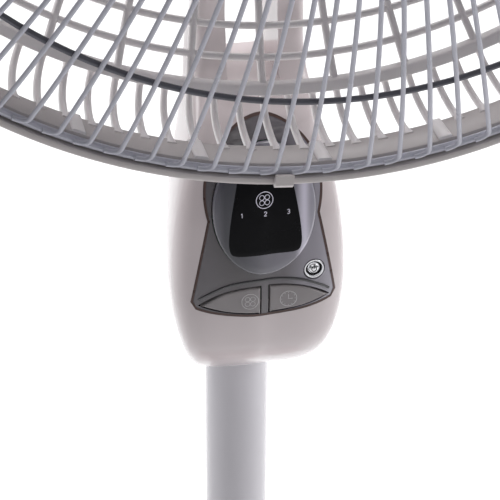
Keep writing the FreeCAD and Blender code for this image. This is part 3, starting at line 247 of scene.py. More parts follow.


# Used to paint light that falls from the right onto the lens and the panel.
def graded(name, stops, low, high, rough, coat):
    """A gloss finish whose colour runs across the object from one X to another."""
    made = bpy.data.materials.new(name)
    made.use_nodes = True
    tree = made.node_tree
    shader = tree.nodes["Principled BSDF"]
    shader.inputs["Coat Weight"].default_value = coat
    coords = node(tree, "ShaderNodeTexCoord")
    apart = node(tree, "ShaderNodeSeparateXYZ")
    spread = node(tree, "ShaderNodeMapRange")
    spread.inputs["From Min"].default_value = low
    spread.inputs["From Max"].default_value = high
    ramp = node(tree, "ShaderNodeValToRGB")
    ramp.color_ramp.interpolation = "EASE"
    for index, (place, shade) in enumerate(stops):
        element = ramp.color_ramp.elements[index] if index < 2 else ramp.color_ramp.elements.new(place)
        element.position = place
        element.color = (*shade, 1.0)
    noise = node(tree, "ShaderNodeTexNoise")
    noise.inputs["Scale"].default_value = 60.0
    roughness = node(tree, "ShaderNodeMapRange")
    roughness.inputs["To Min"].default_value = rough[0]
    roughness.inputs["To Max"].default_value = rough[1]
    tree.links.new(coords.outputs["Object"], apart.inputs["Vector"])
    tree.links.new(coords.outputs["Object"], noise.inputs["Vector"])
    tree.links.new(apart.outputs["X"], spread.inputs["Value"])
    tree.links.new(spread.outputs["Result"], ramp.inputs["Fac"])
    tree.links.new(ramp.outputs["Color"], shader.inputs["Base Color"])
    tree.links.new(noise.outputs["Fac"], roughness.inputs["Value"])
    tree.links.new(roughness.outputs["Result"], shader.inputs["Roughness"])
    return made


def between(first, second, share):
    """A colour part of the way from one to another."""
    return tuple(a + (b - a) * share for a, b in zip(first, second))


def lens_finish(tint):
    """Smoked plastic with a painted highlight: brightest in a band near its right side, where light
    reflects and shows through.
    """
    dark = tint.lens_dark
    light = tint.lens_painted_highlight
    # Painted highlight: from the dark tint near the left the colour rises to a bright band at 0.88,
    # with lighter ends.
    stops = [(0.0, between(dark, light, 0.16)), (1.0, between(dark, light, 0.3)), (0.12, dark),
             (0.78, between(dark, light, 0.25)), (0.88, light), (0.95, between(dark, light, 0.45))]
    half = bpy.context.scene.fan_controls.lens_half + 0.0001
    return graded("smoked lens", stops, -half, half, (0.05, 0.09), 1.0)


def mask_finish(tint):
    """Deep black that mirrors very little."""
    made = finish_of("black mask", (0.004, 0.004, 0.005), 0.2, 60.0, (0.05, 0.09), 0.01, 900.0)
    made.node_tree.nodes["Principled BSDF"].inputs["Specular IOR Level"].default_value = 0.15
    return made


def panel_finish(tint):
    """Dark grey gloss with painted light: it lightens towards the right, where light falls on it."""
    dark = tint.panel
    light = tint.lens_painted_highlight
    stops = [(0.0, between(dark, light, 0.05)), (1.0, between(dark, light, 0.42)), (0.3, dark),
             (0.62, between(dark, light, 0.06)), (0.8, between(dark, light, 0.3))]
    half = 0.031
    return graded("panel gloss", stops, -half, half, (0.1, 0.16), 0.8)


# Each finish: its name, its colour (or the setting that holds it), how much the colour varies and at
# what scale, its roughness range, the strength and scale of its grain, and anything more.
FINISH_TABLE = {
    "housing": ("housing gloss", "housing", 0.02, 25.0, (0.2, 0.26), 0.03, 700.0, {"coat": 0.5}),
    "guard": ("guard plastic", "guard", 0.04, 45.0, (0.3, 0.42), 0.06, 600.0, {}),
    "wire": ("wire coating", "wire", 0.06, 90.0, (0.25, 0.38), 0.1, 1500.0, {}),
    "ring": ("ring coating", "ring", 0.1, 90.0, (0.3, 0.4), 0.1, 1500.0, {}),
    "tube": ("pole enamel", "tube", 0.02, 20.0, (0.16, 0.22), 0.05, 500.0, {"coat": 0.5}),
    "ridge": ("ridge gloss", (0.045, 0.043, 0.047), 0.05, 60.0, (0.08, 0.14), 0.01, 900.0,
              {"coat": 0.6}),
    "grille": ("grille plastic", "grille", 0.04, 45.0, (0.3, 0.42), 0.06, 600.0, {}),
    "icon": ("icon print", (0.62, 0.60, 0.62), 0.05, 400.0, (0.4, 0.5), 0.05, 2000.0, {}),
    "glow": ("display mark", (0.8, 0.78, 0.9), 0.03, 400.0, (0.3, 0.4), 0.02, 2000.0, {}),
    "button": ("button satin", "button", 0.05, 80.0, (0.3, 0.4), 0.05, 1500.0, {}),
    "trim": ("trim", "trim", 0.2, 200.0, (0.25, 0.4), 0.05, 1500.0, {}),
    "blade": ("smoky blade", "blade", 0.05, 20.0, (0.12, 0.2), 0.02, 500.0, {"coat": 0.4}),
    "rubber": ("rubber", (0.035, 0.035, 0.037), 0.2, 120.0, (0.7, 0.9), 0.3, 900.0, {}),
    "iron": ("cast iron", (0.09, 0.09, 0.092), 0.3, 90.0, (0.6, 0.8), 0.6, 500.0, {"metal": 0.6}),
    "steel": ("plated steel", (0.55, 0.55, 0.56), 0.08, 60.0, (0.22, 0.4), 0.1, 800.0,
              {"metal": 1.0, "stretch": (1.0, 1.0, 8.0)}),
    "alloy": ("cast alloy", (0.5, 0.5, 0.51), 0.1, 120.0, (0.4, 0.6), 0.4, 700.0, {"metal": 0.9}),
    "chrome": ("chrome", (0.82, 0.82, 0.84), 0.03, 60.0, (0.04, 0.09), 0.01, 900.0, {"metal": 1.0}),
    "nylon": ("nylon", (0.62, 0.61, 0.56), 0.06, 80.0, (0.4, 0.55), 0.1, 900.0, {}),
    "bronze": ("bronze", (0.45, 0.26, 0.11), 0.15, 90.0, (0.3, 0.5), 0.2, 900.0, {"metal": 1.0}),
    "badge": ("badge foil", (0.62, 0.62, 0.64), 0.05, 60.0, (0.2, 0.28), 0.05, 900.0, {"metal": 1.0}),
}

# Each banded finish: its name, its two colours, the bands' direction and scale, roughness and metal.
BANDED_TABLE = {
    "board": ("circuit board", (0.03, 0.16, 0.07), (0.02, 0.09, 0.04), "X", 120.0, (0.3, 0.45), 0.0),
    "copper": ("wound copper", (0.6, 0.28, 0.12), (0.25, 0.1, 0.04), "Y", 260.0, (0.25, 0.4), 0.8),
    "stack": ("steel stack", (0.35, 0.35, 0.36), (0.14, 0.14, 0.15), "Y", 330.0, (0.35, 0.5), 0.9),
}

SPECIAL_FINISHES = {"panel": panel_finish, "lens": lens_finish, "mask": mask_finish}
FINISHES = {}


def made_finish(name):
    """Make the finish of that name from its table."""
    tint = bpy.context.scene.fan_colours
    if name in SPECIAL_FINISHES:
        return SPECIAL_FINISHES[name](tint)
    if name in BANDED_TABLE:
        return banded(*BANDED_TABLE[name])
    title, base, vary, scale, rough, bump, grain, more = FINISH_TABLE[name]
    if isinstance(base, str):
        base = getattr(tint, base)
    return finish_of(title, base, vary, scale, rough, bump, grain, **more)


def finish_named(name):
    """The finish of that name, made the first time it is asked for."""
    if name not in FINISHES:
        FINISHES[name] = made_finish(name)
    return FINISHES[name]


NODE_FINISH = {
    "housing": ["base_cover", "column_front_shell", "column_rear_shell", "motor_cover", "socket_shroud",
                "height_collar", "oscillation_knob", "height_lock_knob"],
    "guard": ["rear_guard", "guard_nut", "guard_clips"],
    "wire": ["front_guard_wires"],
    "ring": ["front_guard_rings"],
    "tube": ["inner_tube", "outer_tube"],
    "panel": ["control_panel"],
    "lens": ["display_lens"],
    "button": ["speed_button", "timer_button"],
    "trim": ["panel_trim"],
    "mask": ["display_mask", "capacitor"],
    "blade": ["fan_blade", "blade_nut"],
    "rubber": ["rubber_feet", "cord_gland"],
    "iron": ["base_weight"],
    "steel": ["base_bottom_plate", "base_screws", "tilt_bolt", "tilt_nut", "motor_screws",
              "motor_shaft", "swivel_pin", "link_rod", "link_anchor_pin", "pole_socket"],
    "alloy": ["motor_front_bracket", "motor_rear_bracket", "motor_rotor", "swivel_block",
              "tilt_knuckle"],
    "chrome": ["power_button_ring", "power_button"],
    "badge": ["guard_badge"],
    "nylon": ["gearbox_case", "gearbox_lid", "worm_wheel", "crank_disc", "collar_bush", "swivel_washer",
              "tube_sleeve", "tact_switches", "indicator_leds"],
    "bronze": ["shaft_bushes"],
    "board": ["circuit_board"],
    "copper": ["stator_windings"],
    "stack": ["stator_core"],
}

# ---------------------------------------------------------------------------------- mesh helpers


def new_piece(name, bm, finish, body, replaces=(), crease=35.0):
    """Put a finished bmesh in the scene as one piece that rides on a body."""
    mesh = bpy.data.meshes.new(name)
    bm.to_mesh(mesh)
    bm.free()
    mesh.shade_smooth()
    mesh.set_sharp_from_angle(angle=math.radians(crease))
    piece = bpy.data.objects.new(name, mesh)
    bpy.context.scene.collection.objects.link(piece)
    mesh.materials.append(finish_named(finish))
    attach(piece, body)
    if replaces:
        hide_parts(*replaces)
    return piece


def outline_loop(bm, points, rounding=0.0, segments=3):
    """A closed loop of edges through points, with its corners rounded."""
    verts = [bm.verts.new(point) for point in points]
    for index, vert in enumerate(verts):
        bm.edges.new((vert, verts[(index + 1) % len(verts)]))
    if rounding:
        bmesh.ops.bevel(bm, geom=verts, offset=rounding, segments=segments, profile=0.5,
                        affect="VERTICES", material=-1, clamp_overlap=True)
    return bm


def lathe(profile, centre, axis, steps, rounding=0.0, segments=3):
    """A ring or disc: a closed outline spun once round an axis through the centre."""
    bm = bmesh.new()
    outline_loop(bm, profile, rounding, segments)
    bmesh.ops.spin(bm, geom=bm.verts[:] + bm.edges[:], cent=centre, axis=axis, angle=math.tau,
                   steps=steps, use_merge=True, use_duplicate=False)
    bmesh.ops.remove_doubles(bm, verts=bm.verts[:], dist=1e-6)
    face_outwards(bm)
    return bm


def face_outwards(bm):
    """Turn every face's normal outwards."""
    bmesh.ops.recalc_face_normals(bm, faces=bm.faces[:])


def guard_ring(profile, steps, rounding=0.0, segments=3):
    """A ring round the blower's axis from (radius, depth) corners measured from the guard's centre."""
    corners = [guard_point(0.0, depth, -radius) for radius, depth in profile]
    return lathe(corners, guard_point(0, 0, 0), (0, 1, 0), steps, rounding, segments)


def wire_ring(radius, depth, wire, steps=180, sides=10):
    """A round wire bent into a ring."""
    bm = bmesh.new()
    at = Matrix.Translation(guard_point(0.0, depth, -radius)) @ Matrix.Rotation(math.pi / 2, 4, "Y")
    bmesh.ops.create_circle(bm, cap_ends=False, radius=wire, segments=sides, matrix=at)
    bmesh.ops.spin(bm, geom=bm.verts[:] + bm.edges[:], cent=guard_point(0, 0, 0), axis=(0, 1, 0),
                   angle=math.tau, steps=steps, use_merge=True, use_duplicate=False)
    bmesh.ops.remove_doubles(bm, verts=bm.verts[:], dist=1e-6)
    face_outwards(bm)
    return bm


def merged(parts):
    """Several bmeshes joined into one."""
    whole = bmesh.new()
    for part in parts:
        mesh = bpy.data.meshes.new("part")
        part.to_mesh(mesh)
        part.free()
        whole.from_mesh(mesh)
        bpy.data.meshes.remove(mesh)
    return whole


def around(part, count, first=0.0):
    """Copies of one bmesh spaced evenly round the blower's axis."""
    mesh = bpy.data.meshes.new("one")
    part.to_mesh(mesh)
    part.free()
    whole = bmesh.new()
    centre = guard_point(0, 0, 0)
    for index in range(count):
        before = len(whole.verts)
        whole.from_mesh(mesh)
        whole.verts.ensure_lookup_table()
        turn = Matrix.Rotation(first + math.tau * index / count, 3, "Y")
        bmesh.ops.rotate(whole, cent=centre, matrix=turn, verts=whole.verts[before:])
    bpy.data.meshes.remove(mesh)
    return whole


def bar_along(stations, corner):
    """A bar of rounded rectangular section through stations of (point, direction, width, height)."""
    bm = bmesh.new()
    loops = []
    for point, direction, width, height in stations:
        across = Vector((1.0, 0.0, 0.0))
        up = direction.cross(across).normalized()
        half_w = width / 2
        half_h = height / 2
        cut = min(corner, half_w * 0.95, half_h * 0.95)
        loop = []
        for x, y in ((half_w - cut, half_h), (-half_w + cut, half_h), (-half_w, half_h - cut),
                     (-half_w, -half_h + cut), (-half_w + cut, -half_h), (half_w - cut, -half_h),
                     (half_w, -half_h + cut), (half_w, half_h - cut)):
            loop.append(bm.verts.new(point + across * x + up * y))
        loops.append(loop)
    for here, there in zip(loops, loops[1:]):
        edges_here = [bm.edges.get((a, b)) or bm.edges.new((a, b))
                      for a, b in zip(here, here[1:] + here[:1])]
        edges_there = [bm.edges.new((a, b)) for a, b in zip(there, there[1:] + there[:1])]
        bmesh.ops.bridge_loops(bm, edges=edges_here + edges_there)
    bmesh.ops.holes_fill(bm, edges=bm.edges[:], sides=8)
    face_outwards(bm)
    return bm


def front_face(name):
    """A finder for the front of a CAD node: x and z in, and the y of its face out."""
    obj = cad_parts[name]
    corners = [obj.matrix_world @ vert.co for vert in obj.data.vertices]
    tree = BVHTree.FromPolygons(corners, [face.vertices[:] for face in obj.data.polygons])
    ahead = min(corner.y for corner in corners)

    def find(x, z):
        hit = tree.ray_cast(Vector((x, ahead - 0.01, z)), Vector((0.0, 1.0, 0.0)))[0]
        if hit is None:
            hit = tree.find_nearest(Vector((x, ahead, z)))[0]
        return hit.y

    return find


def run_through(points, per_span=8):
    """A smooth run of (x, z) points through a few given ones."""
    knots = [Vector(point) for point in points]
    knots = [2 * knots[0] - knots[1]] + knots + [2 * knots[-1] - knots[-2]]
    run = []
    for a, b, c, d in zip(knots, knots[1:], knots[2:], knots[3:]):
        for step in range(per_span):
            t = step / per_span
            run.append(0.5 * (2 * b + (c - a) * t + (2 * a - 5 * b + 4 * c - d) * t ** 2
                              + (3 * b - a - 3 * c + d) * t ** 3))
    return run + [knots[-2]]


def mirrored(points):
    """The same points on the other side of the middle, in reverse order."""
    return [Vector((2 * HUB_X - point.x, point.y)) for point in reversed(points)]


def drawn_in(points, centre, distance):
    """A closed outline moved inwards by a distance."""
    moved = []
    count = len(points)
    for index, point in enumerate(points):
        along = (points[(index + 1) % count] - points[index - 1]).normalized()
        side = Vector((-along.y, along.x))
        if side.dot(Vector(centre) - point) < 0:
            side = -side
        moved.append(point + side * distance)
    return moved


def capped(outline, centre, face, lift, roll, depth):
    """A plate with a rolled edge over a curved face, from a closed outline of (x, z) points."""
    bm = bmesh.new()
    middle = Vector(centre)
    shapes = [(outline, depth), (outline, roll),
              (drawn_in(outline, centre, roll * 0.13), roll * 0.5),
              (drawn_in(outline, centre, roll * 0.5), roll * 0.13),
              (drawn_in(outline, centre, roll), 0.0)]
    rolled = shapes[-1][0]
    for share in (0.9, 0.75, 0.55, 0.35, 0.15):
        shapes.append(([middle + (point - middle) * share for point in rolled], 0.0))
    loops = []
    for points, back in shapes:
        loops.append([bm.verts.new((p.x, face(p.x, p.y) - lift + back, p.y)) for p in points])
    for outer, inner in zip(loops, loops[1:]):
        for index in range(len(outer)):
            after = (index + 1) % len(outer)
            bm.faces.new((outer[index], outer[after], inner[after], inner[index]))
    bm.faces.new(loops[0])
    tip = bm.verts.new((middle.x, face(middle.x, middle.y) - lift, middle.y))
    for index in range(len(outline)):
        bm.faces.new((loops[-1][index], loops[-1][(index + 1) % len(outline)], tip))
    face_outwards(bm)
    return bm


def stroke(bm, points, width, face, lift, closed=False, sunk=0.0001):
    """A thin flat line through (x, z) points, laid on a curved face."""
    count = len(points)
    rows = []
    for index, point in enumerate(points):
        before = points[index - 1] if closed or index else point
        after = points[(index + 1) % count] if closed or index < count - 1 else point
        along = (after - before).normalized()
        side = Vector((-along.y, along.x)) * width / 2
        row = []
        corners = ((point - side, -lift), (point + side, -lift),
                   (point + side, sunk), (point - side, sunk))
        for edge, back in corners:
            row.append(bm.verts.new((edge.x, face(point.x, point.y) + back, edge.y)))
        rows.append(row)
    spans = list(zip(rows, rows[1:] + rows[:1] if closed else rows[1:]))
    for here, there in spans:
        for index in range(4):
            after = (index + 1) % 4
            bm.faces.new((here[index], here[after], there[after], there[index]))
    if not closed:
        bm.faces.new(rows[0])
        bm.faces.new(rows[-1][::-1])


def circle_points(centre, radius, count=32, first=0.0, sweep=math.tau):
    """Points round a circle or along an arc, in the front view."""
    steps = count if sweep >= math.tau else count - 1
    points = []
    for index in range(count):
        angle = first + sweep * index / steps
        points.append(Vector((centre[0] + radius * math.cos(angle),
                              centre[1] + radius * math.sin(angle))))
    return points


# ------------------------------------------------------------------------------------- operators


class FAN_OT_stage(bpy.types.Operator):
    """Make the floor, the studio lights and the camera"""

    bl_idname = "fan.stage"
    bl_label = "Stage"

    def execute(self, context):
        scene = context.scene
        lights = scene.fan_lights
        bm = bmesh.new()
        bmesh.ops.create_grid(bm, x_segments=8, y_segments=8, size=9.0)
        mesh = bpy.data.meshes.new("studio_floor")
        bm.to_mesh(mesh)
        bm.free()
        floor = bpy.data.objects.new("studio_floor", mesh)
        scene.collection.objects.link(floor)
        pale = finish_of("pale floor", (0.86, 0.86, 0.865), 0.01, 0.6, (0.7, 0.8), 0.02, 80.0)
        mesh.materials.append(pale)
        self.area("behind", (0.3, 1.7, 2.9), (0.35, 1.35, 0.0), (3.4, 3.0), lights.behind)
        self.area("right", (1.7, -0.35, 1.5), (0.0, -0.05, 0.75), (0.9, 1.6), lights.right)
        self.area("floor_right", (1.5, -0.5, 1.3), (1.5, -0.5, 0.0), (1.5, 1.5), lights.floor_right)
        self.area("left", (-1.5, 0.7, 1.5), (0.0, 0.0, 0.8), (0.7, 1.5), lights.left)
        self.area("front", (-0.6, -2.6, 1.9), (0.0, 0.0, 0.8), (1.6, 1.2), lights.front)
        world = bpy.data.worlds.new("studio")
        world.use_nodes = True
        background = world.node_tree.nodes["Background"]
        background.inputs["Color"].default_value = (0.95, 0.96, 1.0, 1.0)
        background.inputs["Strength"].default_value = lights.world
        scene.world = world
        scene.view_settings.view_transform = "Standard"
        self.camera(scene)
        return {"FINISHED"}

    def area(self, name, place, target, size, power):
        """One rectangular light that faces a target."""
        data = bpy.data.lights.new(name, "AREA")
        data.shape = "RECTANGLE"
        data.size, data.size_y = size
        data.energy = power
        lamp = bpy.data.objects.new(name, data)
        lamp.location = place
        lamp.rotation_euler = (Vector(target) - Vector(place)).to_track_quat("-Z", "Y").to_euler()
        bpy.context.scene.collection.objects.link(lamp)

    def camera(self, scene):
        """The camera, placed from the guard's centre."""
        data = bpy.data.cameras.new("camera")
        data.lens = CAMERA_LENS
        data.clip_start = 0.02
        eye = bpy.data.objects.new("camera", data)
        across = Vector(CAMERA_ACROSS).normalized()
        ahead = Vector(CAMERA_AHEAD).normalized()
        up = across.cross(ahead).normalized()
        turn = Matrix((across, up, -ahead)).transposed()
        eye.matrix_world = Matrix.Translation(guard_point(*CAMERA_PLACE)) @ turn.to_4x4()
        scene.collection.objects.link(eye)
        scene.camera = eye


class FAN_OT_finishes(bpy.types.Operator):
    """Give every CAD node its finish"""

    bl_idname = "fan.finishes"
    bl_label = "Finishes of the CAD nodes"

    def execute(self, context):
        for finish, names in NODE_FINISH.items():
            for name in names:
                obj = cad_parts[name]
                for slot in obj.material_slots:
                    slot.material = finish_named(finish)
        return {"FINISHED"}


def weld_depth(sizes):
    """Where a spoke's centre line meets the outer ring that it is welded to."""
    overlap = 0.00035
    return OUTER_RING_DEPTH - OUTER_RING_WIRE - sizes.wire_radius + overlap


def dome_radius(sizes):
    """The radius of the sphere that the spokes bend along."""
    return (RING_RADIUS ** 2 + sizes.dome_depth ** 2) / (2.0 * sizes.dome_depth)


def dome_depth_at(radius, sizes):
    """How far ahead of the ring's plane a spoke's centre line lies at one radius."""
    dome = dome_radius(sizes)
    rise = math.sqrt(dome ** 2 - radius ** 2) - math.sqrt(dome ** 2 - RING_RADIUS ** 2)
    return weld_depth(sizes) - rise


class FAN_OT_front_guard(bpy.types.Operator):
    """Make the spoked front guard: spokes with hooked ends on their rings"""

    bl_idname = "fan.front_guard"
    bl_label = "Front guard"

    def execute(self, context):
        sizes = context.scene.fan_guard
        spokes = around(self.spoke(sizes), sizes.wire_count)
        new_piece("front_spokes", spokes, "wire", "head", ["front_guard_wires"], 60.0)
        outer = wire_ring(RING_RADIUS, OUTER_RING_DEPTH, OUTER_RING_WIRE, 240)
        new_piece("outer_guard_ring", outer, "wire", "head")
        behind = sizes.wire_radius + 0.00075
        rings = [wire_ring(radius, dome_depth_at(radius, sizes) + behind, 0.0011)
                 for radius in (sizes.inner_ring, sizes.middle_ring)]
        badge_depth = dome_depth_at(sizes.badge_ring + 0.0015, sizes)
        rings.append(wire_ring(sizes.badge_ring, badge_depth + sizes.wire_radius + 0.0009, 0.0013))
        # The inner rings take the dark ring finish, painted shade; the outer ring keeps the wire
        # finish.
        new_piece("inner_guard_rings", merged(rings), "ring", "head",
                  ["front_guard_rings"])
        return {"FINISHED"}

    def spoke(self, sizes):
        """One spoke: an arc over the dome, a bend and a short tail along the ring."""
        dome = dome_radius(sizes)
        swirl = sizes.swirl
        centre_y = weld_depth(sizes) + math.sqrt(dome ** 2 - RING_RADIUS ** 2)
        arc = math.sqrt(dome ** 2 - swirl ** 2)
        outer = math.sqrt(RING_RADIUS ** 2 - swirl ** 2) - sizes.bend
        inner = math.sqrt((sizes.badge_ring - 0.0005) ** 2 - swirl ** 2)
        start_turn = math.asin(inner / arc)
        end_turn = math.asin(outer / arc)
        cent = guard_point(-swirl, centre_y, 0.0)
        bm = bmesh.new()
        start = guard_point(-swirl, centre_y - arc * math.cos(start_turn), -inner)
        place = Matrix.Translation(start) @ Matrix.Rotation(start_turn, 4, "X")
        bmesh.ops.create_circle(bm, cap_ends=False, radius=sizes.wire_radius, segments=8, matrix=place)
        last = bmesh.ops.spin(bm, geom=bm.verts[:] + bm.edges[:], cent=cent, axis=(1, 0, 0),
                              angle=end_turn - start_turn, steps=16)["geom_last"]
        end = guard_point(-swirl, centre_y - arc * math.cos(end_turn), -outer)
        onward = Vector((0.0, math.sin(end_turn), -math.cos(end_turn)))
        aside = Vector((-1.0, 0.0, 0.0))
        last = bmesh.ops.spin(bm, geom=last, cent=end + aside * sizes.bend, axis=onward.cross(aside),
                              angle=math.pi / 2, steps=5)["geom_last"]
        tail = bmesh.ops.extrude_edge_only(bm, edges=[item for item in last
                                                      if isinstance(item, bmesh.types.BMEdge)])["geom"]
        bmesh.ops.translate(bm, vec=aside * sizes.bend * 0.8,
                            verts=[item for item in tail if isinstance(item, bmesh.types.BMVert)])
        bmesh.ops.holes_fill(bm, edges=bm.edges[:], sides=8)
        face_outwards(bm)
        return bm


class FAN_OT_rear_guard(bpy.types.Operator):
    """Make the moulded back guard: rim, slats, heavy ring, ribs, rings and hub plate"""

    bl_idname = "fan.rear_guard"
    bl_label = "Back guard"

    def execute(self, context):
        sizes = context.scene.fan_guard
        pitch = math.tau / sizes.rib_count
        # Painted light: the ribs, slats, rings, pads and heavy ring take the lighter grille finish; the
        # rim and hub plate keep the guard colour.
        self.rim(sizes)
        self.bosses(sizes)
        ribs = around(self.rib(sizes), sizes.rib_count, pitch / 2)
        new_piece("grille_ribs", ribs, "grille", "head", ["rear_guard"], 50.0)
        slats = around(self.slat(sizes), sizes.rib_count * sizes.slats_per_rib, pitch / 2)
        new_piece("rim_slats", slats, "grille", "head", ["rear_guard"], 50.0)
        self.rings(sizes)
        return {"FINISHED"}

    def grille_at(self, radius, sizes):
        """How far back the grille's face lies at one radius."""
        drop = sizes.grille_depth - sizes.shoulder_depth
        return sizes.grille_depth - drop * (radius / sizes.shoulder) ** sizes.grille_curve

    def rim(self, sizes):
        """The rim: a lip round the wire ring, an outer wall and an inner band."""
        seat = RING_RADIUS + OUTER_RING_WIRE + 0.0008
        band = RIM_RADIUS - RIM_WALL
        deep = sizes.rim_depth
        profile = [(seat, -0.0016), (RIM_RADIUS - 0.001, -0.0016), (RIM_RADIUS, 0.002),
                   (RIM_RADIUS - 0.0006, deep - 0.003), (RIM_RADIUS - 0.003, deep), (band, deep),
                   (band, 0.0018), (seat, 0.0018)]
        rim = guard_ring(profile, 276, 0.0006, 2)
        new_piece("guard_rim", rim, "guard", "head", ["rear_guard"])

    def bosses(self, sizes):
        """Small upright pads round the rim's inner band."""
        band = RIM_RADIUS - RIM_WALL
        along = Vector((0.0, 1.0, 0.0))
        stations = [(guard_point(0.0, depth, -(band - 0.0002)), along, 0.005, 0.0016)
                    for depth in (0.0022, sizes.rim_depth - 0.0004)]
        pads = around(bar_along(stations, 0.0005), 30)
        new_piece("rim_bosses", pads, "grille", "head", ["rear_guard"], 50.0)

    def rib(self, sizes):
        """One rib: from the hub plate out to the heavy ring, along the grille's curve."""
        stations = []
        steps = 14
        step = 0.001
        under_plate = 0.002
        for index in range(steps + 1):
            span = sizes.shoulder - sizes.hub_plate + under_plate
            radius = sizes.hub_plate - under_plate + span * index / steps
            ahead = self.grille_at(radius + step, sizes)
            behind = self.grille_at(radius - step, sizes)
            direction = Vector((0.0, (ahead - behind) / (2 * step), -1.0)).normalized()
            point = guard_point(0.0, self.grille_at(radius, sizes) + sizes.rib_height / 2, -radius)
            stations.append((point, direction, sizes.rib_width, sizes.rib_height))
        return bar_along(stations, 0.0006)

    def slat(self, sizes):
        """One slat: from the rim's inner band out to the heavy ring, bowed like a drawn-in arm."""
        band = RIM_RADIUS - RIM_WALL
        start = Vector((0.0, sizes.rim_depth - 0.004, -(band + 0.0012)))
        end = Vector((0.0, sizes.shoulder_depth + 0.0005, -sizes.shoulder))
        middle = Vector((0.0, sizes.shoulder_depth - 0.003, -(band + 0.001)))
        stations = []
        steps = 14
        for index in range(steps + 1):
            share = index / steps
            point = start * (1 - share) ** 2 + middle * 2 * share * (1 - share) + end * share ** 2
            direction = ((middle - start) * (1 - share) + (end - middle) * share).normalized()
            near_end = max(0.0, 1.0 - min(share, 1.0 - share) / 0.15)
            width = sizes.rib_width * (0.85 + 0.9 * near_end ** 2)
            stations.append((guard_point(point.x, point.y, point.z), direction, width, 0.0032))
        return bar_along(stations, 0.0006)

    def rings(self, sizes):
        """The thin rings on the ribs, the heavy ring and the plate at the hub."""
        parts = []
        radius = sizes.shoulder - sizes.ring_step * 0.9
        while radius > sizes.hub_plate + sizes.ring_step * 0.7:
            depth = self.grille_at(radius, sizes)
            profile = [(radius - 0.0012, depth + 0.0002), (radius + 0.0012, depth + 0.0002),
                       (radius + 0.0012, depth + 0.0028), (radius - 0.0012, depth + 0.0028)]
            parts.append(guard_ring(profile, 184, 0.0006, 1))
            radius -= sizes.ring_step
        rings = merged(parts)
        new_piece("grille_rings", rings, "grille", "head", ["rear_guard"], 50.0)
        shoulder = sizes.shoulder
        depth = sizes.shoulder_depth
        heavy = guard_ring([(shoulder - 0.0018, depth - 0.0012), (shoulder + 0.0018, depth - 0.0034),
                            (shoulder + 0.0018, depth + 0.0014), (shoulder - 0.0018, depth + 0.0036)],
                           276, 0.0009, 3)
        new_piece("shoulder_ring", heavy, "grille", "head", ["rear_guard"])
        plate = self.grille_at(sizes.hub_plate, sizes)
        nose = (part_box("guard_nut")[1].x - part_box("guard_nut")[0].x) / 2 * 0.5
        edge = sizes.hub_plate + 0.002
        hub = guard_ring([(nose, plate), (edge, plate - 0.0003), (edge, plate + 0.003),
                          (nose, plate + 0.003)], 184, 0.0006, 2)
        new_piece("grille_hub_plate", hub, "guard", "head", ["rear_guard"])


# The numbers 1, 2 and 3 as lines, in millimetres from each number's middle.
DIGITS = [
    [(-0.3, 0.55), (0.1, 0.9), (0.1, -0.9)],
    [(-0.5, 0.5), (-0.35, 0.8), (0.0, 0.92), (0.35, 0.8), (0.5, 0.5), (0.4, 0.15), (-0.5, -0.88),
     (0.55, -0.9)],
    [(-0.5, 0.75), (-0.1, 0.92), (0.3, 0.85), (0.48, 0.55), (0.3, 0.2), (-0.05, 0.05), (0.35, -0.05),
     (0.52, -0.42), (0.35, -0.8), (-0.05, -0.93), (-0.5, -0.75)],
]


def air_mark(bm, centre, radius, line, face, lift):
    """A plain sign for moving air: four lobes in a circle."""
    stroke(bm, circle_points(centre, radius, 40), line, face, lift, True)
    for index in range(4):
        angle = math.pi / 4 + index * math.pi / 2
        reach = radius * 0.45
        lobe = (centre[0] + reach * math.cos(angle), centre[1] + reach * math.sin(angle))
        stroke(bm, circle_points(lobe, radius * 0.29, 16), line * 0.8, face, lift, True)


class FAN_OT_display(bpy.types.Operator):
    """Make the display: smoked lens, black window, speed numbers and air mark"""

    bl_idname = "fan.display"
    bl_label = "Display"

    def execute(self, context):
        sizes = context.scene.fan_controls
        centre = (HUB_X, HUB_Z - sizes.lens_drop)
        face = front_face("display_lens")
        steps = 96
        turns = [math.tau * index / steps for index in range(steps)]
        oval = [Vector((centre[0] + sizes.lens_half * math.cos(turn),
                        centre[1] + sizes.lens_rise * math.sin(turn))) for turn in turns]
        lens = capped(oval, centre, face, 0.0, sizes.lens_roll, 0.0022)
        new_piece("smoked_lens", lens, "lens", "riser", ["display_lens"], 60.0)
        window = capped(self.window(), centre, face, 0.00006, 0.00005, 0.0002)
        new_piece("display_window", window, "mask", "riser", crease=60.0)
        marks = bmesh.new()
        above = 0.00012
        for place, digit in zip((-0.01, 0.0, 0.0099), DIGITS):
            at = Vector((HUB_X + place, HUB_Z - 0.2802))
            points = run_through([at + Vector(point) * 0.001 for point in digit], 4)
            stroke(marks, points, sizes.mark_line * 0.9, face, above)
        at = (HUB_X - 0.0003, HUB_Z - 0.2741)
        air_mark(marks, at, sizes.icon_size, sizes.mark_line, face, above)
        face_outwards(marks)
        new_piece("display_marks", marks, "glow", "riser")
        return {"FINISHED"}

    def window(self):
        """The black window's outline: narrow above, with rounded lower corners."""
        flank = [(0.0062, 0.2525), (0.0102, 0.2595), (0.0128, 0.272), (0.0147, 0.283), (0.0155, 0.2905),
                 (0.0154, 0.2948), (0.0143, 0.2975), (0.0118, 0.2984)]
        right = run_through([(HUB_X + x, HUB_Z - drop) for x, drop in flank], 5)
        narrow = flank[0][0]
        wide = flank[-1][0]
        foot = [Vector((HUB_X + wide * (1 - index / 4), HUB_Z - 0.2985)) for index in range(1, 8)]
        head = [Vector((HUB_X + narrow * (index / 2.5 - 1), HUB_Z - 0.2518)) for index in range(1, 5)]
        return right + foot + mirrored(right) + head


